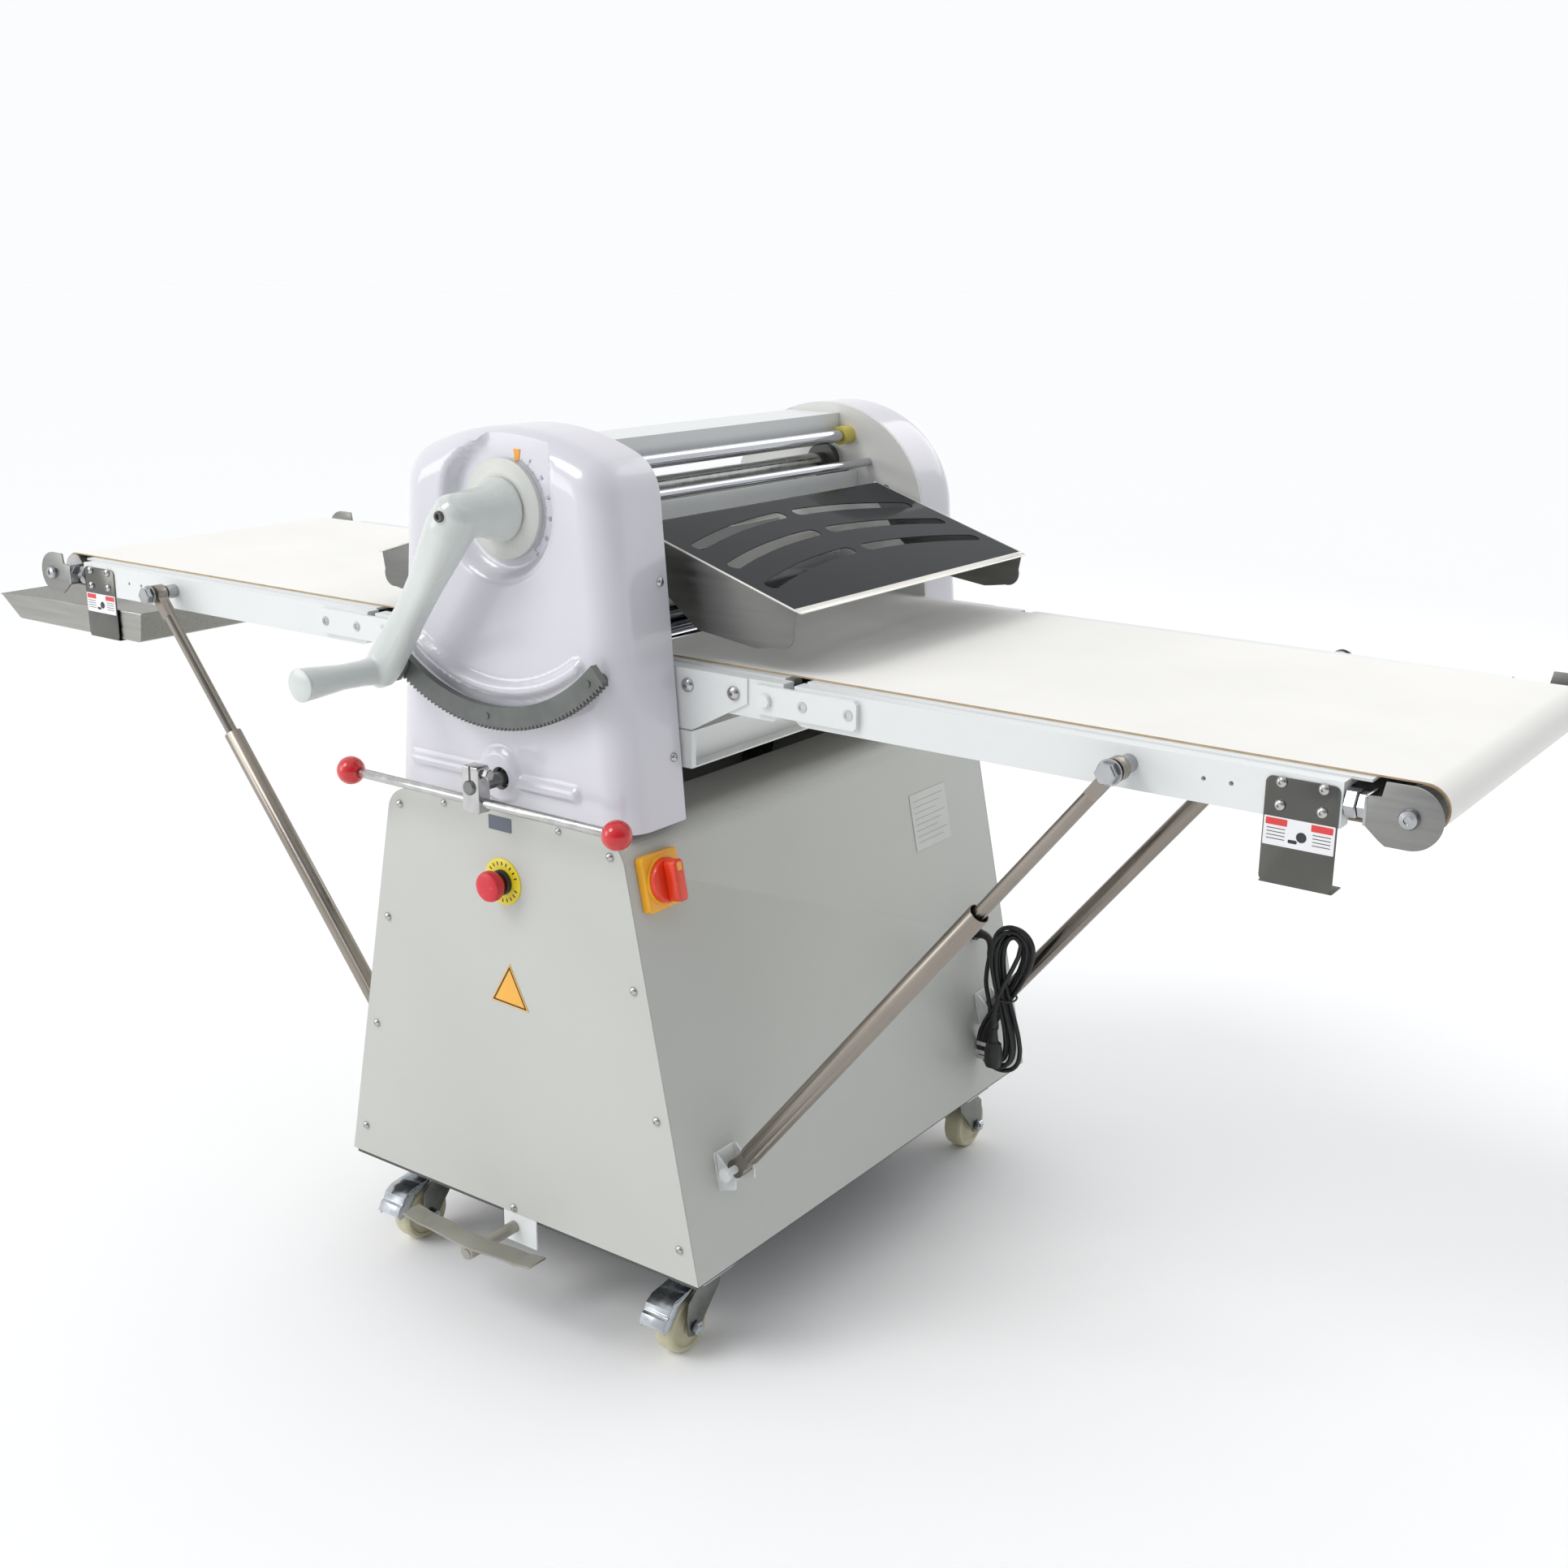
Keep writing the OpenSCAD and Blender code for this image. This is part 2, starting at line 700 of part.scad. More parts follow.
// Tables
module strap() {
    plate_y([[303, hinge_z - 17], [438, hinge_z - 17], [442, hinge_z - 13], [442, hinge_z + 13],
        [438, hinge_z + 17], [303, hinge_z + 17]], -rail_out - 6.5, -rail_out - 0.5);
}

module table_frame(side) {
    deck_z = belt_z - belt_t - 0.2;
    color(white) on_side(side) {
        both_y() difference() {
            union() {
                translate([table_start + rail_end, 0, 0]) mirror([1, 0, 0]) rail(table_start, rail_end, 6);
                strap();
                block(table_start + 4, 442, -rail_out - 0.5, -rail_out, hinge_z - 17, hinge_z + 17);
            }
            rod_y(hinge_x, hinge_z, -rail_out - 7, -rail_out + 1, hinge_r + running);
            for (x = [849.6, 878.6]) rod_y(x, hinge_z, -rail_out - 1, -rail_in + 1, 2.5);
            for (x = [368.7, 430.9]) rod_y(x, hinge_z, -rail_out - 7, -rail_out + 3, 6);
            rod_y(strut_top_x, strut_top_z, -rail_out - 1, -rail_in + 1, strut_pin_r);
            rod_x(-rail_out + 10, hinge_z, rail_end - 30, rail_end + 1, 8);
        }
        block(table_start + 4, rail_end + 20, -deck_half, deck_half, deck_z - 3, deck_z);
        for (x = [420, 620, 820, 960]) block(x, x + 20, -deck_half, deck_half, deck_z - 18, deck_z - 3.1);
    }
}

module table_belt(side) {
    low = small_roller_z - small_roller_r - belt_t;
    color(cream) on_side(side) {
        block(table_start + 1, end_roller_x, -belt_half, belt_half, belt_z - belt_t, belt_z);
        block(table_start + 1, end_roller_x, -belt_half, belt_half, low, low + belt_t);
        difference() {
            rod_y(end_roller_x, small_roller_z, -belt_half, belt_half, small_roller_r + belt_t);
            rod_y(end_roller_x, small_roller_z, -belt_half - 1, belt_half + 1, small_roller_r + running);
            block(end_roller_x - 60, end_roller_x, -belt_half - 1, belt_half + 1, 800, 900);
        }
    }
}

module table_fittings(side) {
    axle_z = small_roller_z;
    plate_r = 31;
    label_x = 951;
    color(dark) on_side(side) both_y() {
        difference() {
            plate_y(concat([[1017, axle_z - 16], [1034, axle_z - plate_r]],
                arc(end_roller_x, axle_z, plate_r, -90, 90, 12),
                [[1030, axle_z + plate_r], [1029, axle_z + 15], [1017, axle_z + 15]]), -292, -289);
            rod_y(end_roller_x, axle_z, -293, -288, 6);
        }
        difference() {
            block(1014, 1017, -292, -262, axle_z - 15, axle_z + 15);
            rod_x(-rail_out + 10, hinge_z, 1010, 1020, 8);
        }
        rod_x(-rail_out + 10, hinge_z, rail_end - 30, 1024, 8);
        hex_x(-rail_out + 10, hinge_z, rail_end + 1, rail_end + 13, 15);
        hex_x(-rail_out + 10, hinge_z, rail_end + 13.2, 1013.8, 13);
        difference() {
            block(label_x - 37, label_x + 37, -rail_out - 1.5, -rail_out, 753, 861);
            rod_y(label_x, 770, -rail_out - 3, -rail_out + 1, 3);
        }
        block(label_x - 37, label_x + 37, -rail_out, -rail_out + 26, 753, 754.5);
        for (x = [label_x - 21, label_x + 21]) for (z = [833, 856])
            translate([x, -rail_out - 1.5, z]) rotate([90, 0, 0]) pan_screw(5.5);
        for (x = [368.7, 430.9]) rod_y(x, hinge_z, -rail_out - 6.2, -rail_out + 3, 6);
    }
    color(steel) on_side(side) both_y() {
        rod_y(strut_top_x, strut_top_z, -strut_y - 24, -rail_in, strut_pin_r);
        difference() {
            rod_y(strut_top_x, strut_top_z, -strut_y + 13, -rail_out, 10);
            rod_y(strut_top_x, strut_top_z, -strut_y + 12, -rail_out + 1, strut_pin_r);
        }
        hex_y(strut_top_x, strut_top_z, -strut_y - 24, -strut_y - 16, 12);
    }
}

module end_roller(side) {
    color(steel) on_side(side) {
        roller_shell(end_roller_x, small_roller_z, small_roller_r, belt_half + 4);
        rod_y(end_roller_x, small_roller_z, -292, 292, 6 - running);
        both_y() dome_bolt_y(end_roller_x, small_roller_z, -292, 10);
    }
}

module catch_pan() {
    wall = 1.2;
    low = 755;
    outer = [[-1180, low], [-866, low], [-860, 800], [-861, 800], [-867, low + wall], [-1179, low + wall],
        [-1228, 790], [-1229, 789]];
    near = 281;
    color(steel) {
        plate_y(outer, -near, near);
        both_y() plate_y([[-1180, low], [-866, low], [-860, 800], [-960, 800], [-1229, 789]],
            -near, -near + wall);
    }
}

// Folding struts
module along_strut() {
    translate([strut_low_x, 0, strut_low_z]) rotate([0, -strut_angle, 0]) children();
}

module strut_tube(side) {
    color(steel) on_side(side) both_y() translate([0, -strut_y, 0]) along_strut() difference() {
        union() {
            translate([24, 0, 0]) rotate([0, 90, 0]) cylinder(h = strut_tube_len - 24, r = strut_d / 2);
            rotate([90, 0, 0]) cylinder(h = 20, r = 12, center = true);
            translate([0, -10, -9]) cube([36, 20, 18]);
        }
        translate([40, 0, 0]) rotate([0, 90, 0]) cylinder(h = strut_tube_len, r = strut_bore_r);
        rotate([90, 0, 0]) cylinder(h = 30, r = strut_pin_r + running, center = true);
    }
}

module strut_rod(side) {
    color(steel) on_side(side) both_y() translate([0, -strut_y, 0]) along_strut() difference() {
        union() {
            translate([60, 0, 0]) rotate([0, 90, 0]) cylinder(h = strut_len - 76, r = strut_rod_d / 2);
            translate([strut_len, 0, 0]) rotate([90, 0, 0]) cylinder(h = 16, r = 13, center = true);
            translate([strut_len - 40, -8, -7]) cube([30, 16, 14]);
        }
        translate([strut_len, 0, 0]) rotate([90, 0, 0])
            cylinder(h = 30, r = strut_pin_r + running, center = true);
    }
}

// Castors
module castor_fork(x, y) {
    back = y < 0 ? 1 : -1;
    pivot = y + back * (wheel_y - swivel_y);
    color(steel) {
        rod_z(x, pivot, castor_top - 14, castor_top - 4, 24);
        rod_z(x, pivot, castor_top - 4, castor_top, 6);
        difference() {
            union() for (s = [-1, 1]) plate_x([[y - 12, wheel_r - 10], [y + 12, wheel_r - 10],
                [pivot + 22, 84], [pivot + 22, castor_top - 14.2], [pivot - 22, castor_top - 14.2],
                [min(y, pivot) - 14, 70]], x + s * 22 - 1.5, x + s * 22 + 1.5);
            rod_x(y, wheel_r, x - 30, x + 30, 5);
        }
        block(x - 23.5, x + 23.5, pivot - 22, pivot + 22, castor_top - 16, castor_top - 13);
        rod_x(y, wheel_r, x - 27, x + 27, 5);
        for (s = [-1, 1]) hex_x(y, wheel_r, x + s * 27 - 3, x + s * 27 + 3, 9);
    }
}

module castor_wheel(x, y) {
    color("Wheat") difference() {
        rod_x(y, wheel_r, x - 14, x + 14, wheel_r);
        rod_x(y, wheel_r, x - 15, x + 15, 5 + running);
    }
}

module castor_brake(x, y) {
    front = y - wheel_r;
    color(steel) {
        difference() {
            plate_x([[front - 22, 60], [front - 20, 60], [front - 2, 84], [y + 4, 90], [y + 4, 92],
                [front - 4, 86]], x - 19, x + 19);
            rod_x(y + 2, 91, x - 20, x + 20, brake_pin_r);
        }
        rod_x(y + 2, 91, x - 19, x + 19, brake_pin_r);
    }
}

// Mains lead
function unit(v) = v / norm(v);
function tangent(p, i) = unit(p[min(i + 1, len(p) - 1)] - p[max(i - 1, 0)]);
function ring(c, t, r, n) =
    let (u = unit(cross(t, [0, 1, 0.01])), v = cross(t, u))
    [for (k = [0:n - 1]) c + r * cos(360 * k / n) * u + r * sin(360 * k / n) * v];

module swept_tube(path, r, n) {
    rings = len(path);
    points = [for (i = [0:rings - 1]) each ring(path[i], tangent(path, i), r, n)];
    walls = [for (i = [0:rings - 2]) for (k = [0:n - 1])
        [i * n + k, i * n + (k + 1) % n, (i + 1) * n + (k + 1) % n, (i + 1) * n + k]];
    polyhedron(points, concat([[for (k = [n - 1:-1:0]) k]], walls,
        [[for (k = [0:n - 1]) (rings - 1) * n + k]]));
}

module cord_gland() {
    color(black) {
        rod_x(316, 366, gland_x - 24, gland_x, 7.5);
        rod_x(316, 366, gland_x - 10.5, gland_x - 5, 11);
    }
}

module cord_lead() {
    color(black) swept_tube(cord_route, cord_d / 2, 10);
}

module cord_hank() {
    rise = atan2(hank_top[1] - hank_foot[1], hank_top[0] - hank_foot[0]);
    apart = norm([hank_top[0] - hank_foot[0], hank_top[1] - hank_foot[1]]);
    open = acos((hank_foot[2] - hank_top[2]) / apart);
    color(black) plate_y(concat(
        arc(hank_top[0], hank_top[1], hank_top[2], rise + open, rise - open, 14),
        arc(hank_foot[0], hank_foot[1], hank_foot[2], rise - open, rise + open - 360, 18)),
        hank_y, hank_y + hank_t);
}

module cord_plug() {
    color(black) block(324, 352, hank_y - 24.5, hank_y - 0.5, 196, 236);
}

cabinet_frame();
end_panels();
side_covers();
cover_screws();
head_plates();
front_head_cover();
rear_head_cover();
bed_rails();
bed_gussets();
bed_bolts();
bed_belts();
top_cover();
tie_rods();
shaft_bearings();
toothed_quadrant();
switch_plates();
motor();
mounting_brackets();
cord_gland();
cord_lead();
cord_hank();
cord_plug();
drive_roller(1);  // drive_roller_right
drive_roller(-1);  // drive_roller_left
lower_roller();
upper_roller();
roller_carriage();
adjusting_shaft();
gap_dial();
gap_lever();
direction_lever();
direction_knobs();
foot_pedal();
estop_button();
isolator_knob();
guard(1);  // guard_right
guard(-1);  // guard_left
table_frame(1);  // table_right_frame
table_belt(1);  // table_right_belt
table_fittings(1);  // table_right_fittings
end_roller(1);  // end_roller_right
table_frame(-1);  // table_left_frame
table_belt(-1);  // table_left_belt
table_fittings(-1);  // table_left_fittings
end_roller(-1);  // end_roller_left
catch_pan();
strut_tube(1);  // strut_tube_right
strut_rod(1);  // strut_rod_right
strut_tube(-1);  // strut_tube_left
strut_rod(-1);  // strut_rod_left
castor_fork(wheel_x, -wheel_y);  // castor_fork_fr
castor_fork(-wheel_x, -wheel_y);  // castor_fork_fl
castor_fork(wheel_x, wheel_y);  // castor_fork_rr
castor_fork(-wheel_x, wheel_y);  // castor_fork_rl
castor_wheel(wheel_x, -wheel_y);  // castor_wheel_fr
castor_wheel(-wheel_x, -wheel_y);  // castor_wheel_fl
castor_wheel(wheel_x, wheel_y);  // castor_wheel_rr
castor_wheel(-wheel_x, wheel_y);  // castor_wheel_rl
castor_brake(wheel_x, -wheel_y);  // castor_brake_fr
castor_brake(-wheel_x, -wheel_y);  // castor_brake_fl
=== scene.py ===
"""Looks of the floor-standing dough sheeter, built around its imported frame. Metres, row frame."""
import math

import bmesh
import bpy
from mathutils import Matrix, Vector
from mathutils.geometry import delaunay_2d_cdt


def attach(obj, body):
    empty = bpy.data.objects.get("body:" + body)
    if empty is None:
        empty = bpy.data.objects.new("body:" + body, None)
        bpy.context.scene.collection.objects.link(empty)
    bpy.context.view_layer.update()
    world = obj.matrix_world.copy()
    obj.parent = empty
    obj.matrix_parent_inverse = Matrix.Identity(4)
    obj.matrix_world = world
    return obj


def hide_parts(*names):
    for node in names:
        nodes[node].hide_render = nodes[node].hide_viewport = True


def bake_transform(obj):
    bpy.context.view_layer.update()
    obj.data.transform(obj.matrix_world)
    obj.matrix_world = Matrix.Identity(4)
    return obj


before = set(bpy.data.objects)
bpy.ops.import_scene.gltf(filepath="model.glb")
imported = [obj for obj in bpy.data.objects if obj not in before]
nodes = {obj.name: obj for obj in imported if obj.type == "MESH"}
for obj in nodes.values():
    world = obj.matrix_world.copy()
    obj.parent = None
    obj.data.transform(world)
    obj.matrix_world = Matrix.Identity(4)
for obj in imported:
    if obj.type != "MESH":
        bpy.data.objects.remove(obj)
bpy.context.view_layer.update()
MM = 0.001


# ---------------------------------------------------------------- camera
def make_camera():
    data = bpy.data.cameras.new("camera")
    data.lens = 42.88
    data.sensor_width = 36
    data.clip_end = 50
    camera = bpy.data.objects.new("camera", data)
    bpy.context.scene.collection.objects.link(camera)
    azimuth, elevation, roll = math.radians(35.8), math.radians(16.3), math.radians(0.5)
    back = Vector((math.sin(azimuth) * math.cos(elevation), -math.cos(azimuth) * math.cos(elevation),
        math.sin(elevation)))
    turn = (-back).to_track_quat("-Z", "Y").to_matrix() @ Matrix.Rotation(roll, 3, "Z")
    camera.matrix_world = Matrix.Translation((1.5497, -1.9599, 1.3532)) @ turn.to_4x4()
    bpy.context.scene.camera = camera


# ---------------------------------------------------------------- mesh helpers
def link(name, mesh, smooth_angle=35):
    piece = bpy.data.objects.new(name, mesh)
    bpy.context.scene.collection.objects.link(piece)
    if smooth_angle:
        mesh.shade_smooth()
        mesh.set_sharp_from_angle(angle=math.radians(smooth_angle))
    return piece


def from_bmesh(name, bm, smooth_angle=35):
    bmesh.ops.recalc_face_normals(bm, faces=bm.faces)
    mesh = bpy.data.meshes.new(name)
    bm.to_mesh(mesh)
    bm.free()
    return link(name, mesh, smooth_angle)


def add_modifier(piece, kind, **values):
    modifier = piece.modifiers.new(kind.lower(), kind)
    for key, value in values.items():
        setattr(modifier, key, value)
    return modifier


def bake_modifiers(piece):
    graph = bpy.context.evaluated_depsgraph_get()
    mesh = bpy.data.meshes.new_from_object(piece.evaluated_get(graph))
    piece.modifiers.clear()
    piece.data = mesh
    return piece


def join(name, parts, smooth_angle=35):
    bm = bmesh.new()
    for part in parts:
        bake_modifiers(part)
        part.data.transform(part.matrix_world)
        bm.from_mesh(part.data)
        bpy.data.objects.remove(part)
    mesh = bpy.data.meshes.new(name)
    bm.to_mesh(mesh)
    bm.free()
    return link(name, mesh, smooth_angle)


def arc_points(cx, cz, r, start, end, steps):
    return [(cx + r * math.cos(math.radians(start + (end - start) * i / steps)),
        cz + r * math.sin(math.radians(start + (end - start) * i / steps))) for i in range(steps + 1)]


def rounded_rect(x0, x1, z0, z1, r, steps=5):
    return (arc_points(x1 - r, z0 + r, r, -90, 0, steps) + arc_points(x1 - r, z1 - r, r, 0, 90, steps)
        + arc_points(x0 + r, z1 - r, r, 90, 180, steps) + arc_points(x0 + r, z0 + r, r, 180, 270, steps))


def plate(name, outline, thickness, to_world, bevel=0.0006, segments=2):
    """A flat plate with a rounded edge: outline in its own XY, thickness along its +Z."""
    bm = bmesh.new()
    face = bm.faces.new([bm.verts.new((x, y, 0)) for x, y in outline])
    made = bmesh.ops.extrude_face_region(bm, geom=[face])
    bmesh.ops.translate(bm, vec=(0, 0, thickness),
        verts=[v for v in made["geom"] if isinstance(v, bmesh.types.BMVert)])
    piece = from_bmesh(name, bm, 30)
    piece.data.transform(to_world)
    if bevel:
        add_modifier(piece, "BEVEL", width=bevel, segments=segments, limit_method="ANGLE",
            angle_limit=math.radians(40))
    return piece


def facing_front(y):
    """Maps plate XY to world XZ, with the plate's +Z towards the operator."""
    return Matrix(((1, 0, 0, 0), (0, 0, -1, y), (0, 1, 0, 0), (0, 0, 0, 1)))


def front_axis(x, y, z):
    """A lathe's axis that starts at (x, y, z) and points towards the operator."""
    return facing_front(y) @ Matrix.Translation((x, z, 0))


def facing_right(x, y=0):
    """Maps plate XY to world YZ, with the plate's +Z along +X."""
    return Matrix(((0, 0, 1, x), (1, 0, 0, y), (0, 1, 0, 0), (0, 0, 0, 1)))


def facing_along(origin, normal, up=(0, 0, 1)):
    z = Vector(normal).normalized()
    x = Vector(up).cross(z).normalized()
    y = z.cross(x)
    rotation = Matrix((x, y, z)).transposed().to_4x4()
    return Matrix.Translation(origin) @ rotation


def rod_profile(r, start, end):
    return [(0, start), (r, start), (r, end), (0, end)]


def lathe(name, profile, to_world, steps=40):
    """Turns a profile of (radius, height) about its own Z."""
    bm = bmesh.new()
    rings = []
    for r, h in profile:
        if r < 1e-7:
            rings.append([bm.verts.new((0, 0, h))])
        else:
            rings.append([bm.verts.new((r * math.cos(2 * math.pi * k / steps),
                r * math.sin(2 * math.pi * k / steps), h)) for k in range(steps)])
    for a, b in zip(rings, rings[1:]):
        for k in range(steps):
            n = (k + 1) % steps
            corners = [a[k % len(a)], a[n % len(a)], b[n % len(b)], b[k % len(b)]]
            unique = list(dict.fromkeys(corners))
            if len(unique) > 2:
                bm.faces.new(unique)
    for ring in (rings[0], rings[-1]):
        if len(ring) > 1:
            bm.faces.new(ring)
    piece = from_bmesh(name, bm, 40)
    piece.data.transform(to_world)
    return piece


def tube(name, points, radius, steps=16):
    """A round bar along points, as a mesh."""
    bm = bmesh.new()
    rings = []
    points = [Vector(p) for p in points]
    side = None
    for i, p in enumerate(points):
        tangent = (points[min(i + 1, len(points) - 1)] - points[max(i - 1, 0)]).normalized()
        if side is None:
            side = tangent.orthogonal().normalized()
        side = (side - tangent * side.dot(tangent)).normalized()
        other = tangent.cross(side)
        r = radius[i] if isinstance(radius, (list, tuple)) else radius
        rings.append([bm.verts.new(p
            + (side * math.cos(2 * math.pi * k / steps) + other * math.sin(2 * math.pi * k / steps)) * r)
            for k in range(steps)])
    for a, b in zip(rings, rings[1:]):
        for k in range(steps):
            n = (k + 1) % steps
            bm.faces.new((a[k], a[n], b[n], b[k]))
    bm.faces.new(rings[0])
    bm.faces.new(rings[-1])
    return from_bmesh(name, bm, 40)


def smooth_line(points, per_span):
    """Catmull-Rom points through a list of points."""
    pts = [Vector(p) for p in points]
    out = []
    for i in range(len(pts) - 1):
        a, b, c, d = pts[max(i - 1, 0)], pts[i], pts[i + 1], pts[min(i + 2, len(pts) - 1)]
        for k in range(per_span):
            t = k / per_span
            out.append(0.5 * ((2 * b) + (c - a) * t + (2 * a - 5 * b + 4 * c - d) * t * t
                + (3 * b - a - 3 * c + d) * t ** 3))
    out.append(pts[-1])
    return out


def finish_piece(piece, body, slot, material, replaces=()):
    piece.data.materials.clear()
    piece.data.materials.append(material)
    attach(piece, body)
    if replaces:
        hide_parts(*replaces)
    return piece


def finish_join(name, parts, smooth_angle, *finish):
    return finish_piece(join(name, parts, smooth_angle), *finish)


# ---------------------------------------------------------------- materials
def new_material(name):
    material = bpy.data.materials.new(name)
    material.use_nodes = True
    tree = material.node_tree
    shader = tree.nodes["Principled BSDF"]
    return material, tree, shader


def noise(tree, scale, detail=4.0, stretch=(1, 1, 1)):
    coords = tree.nodes.new("ShaderNodeTexCoord")
    mapping = tree.nodes.new("ShaderNodeMapping")
    mapping.inputs["Scale"].default_value = stretch
    texture = tree.nodes.new("ShaderNodeTexNoise")
    texture.inputs["Scale"].default_value = scale
    texture.inputs["Detail"].default_value = detail
    tree.links.new(coords.outputs["Object"], mapping.inputs["Vector"])
    tree.links.new(mapping.outputs["Vector"], texture.inputs["Vector"])
    return texture


def ramp(tree, source, low, high, start=0.35, end=0.65):
    node = tree.nodes.new("ShaderNodeValToRGB")
    node.color_ramp.elements[0].position = start
    node.color_ramp.elements[1].position = end
    node.color_ramp.elements[0].color = (*low, 1)
    node.color_ramp.elements[1].color = (*high, 1)
    tree.links.new(source.outputs["Fac"], node.inputs["Fac"])
    return node


def grey(value):
    return (value, value, value)


def bump(tree, shader, source, strength, distance):
    node = tree.nodes.new("ShaderNodeBump")
    node.inputs["Strength"].default_value = strength
    node.inputs["Distance"].default_value = distance
    tree.links.new(source.outputs["Fac"], node.inputs["Height"])
    tree.links.new(node.outputs["Normal"], shader.inputs["Normal"])


def surface(name, colour, rough, metal=0.0, vary=0.04, rough_vary=0.08, scale=6.0, stretch=(1, 1, 1),
        bump_scale=0.0, bump_mm=0.02, bump_stretch=(1, 1, 1), coat=0.0, specular=0.5, sheen=0.0):
    """Colour and roughness that vary softly, and a fine relief."""
    material, tree, shader = new_material(name)
    shader.inputs["Metallic"].default_value = metal
    shader.inputs["Specular IOR Level"].default_value = specular
    if coat:
        shader.inputs["Coat Weight"].default_value = coat
        shader.inputs["Coat Roughness"].default_value = 0.06
    if sheen:
        shader.inputs["Sheen Weight"].default_value = sheen
    texture = noise(tree, scale, 5.0, stretch)
    low = tuple(max(0, c * (1 - vary)) for c in colour)
    high = tuple(min(1, c * (1 + vary)) for c in colour)
    tree.links.new(ramp(tree, texture, low, high).outputs["Color"], shader.inputs["Base Color"])
    tree.links.new(ramp(tree, texture, grey(max(0.02, rough - rough_vary)),
        grey(min(1, rough + rough_vary)), 0.3, 0.7).outputs["Color"], shader.inputs["Roughness"])
    if bump_scale:
        bump(tree, shader, noise(tree, bump_scale, 3.0, bump_stretch), 0.35, bump_mm * MM)
    return material


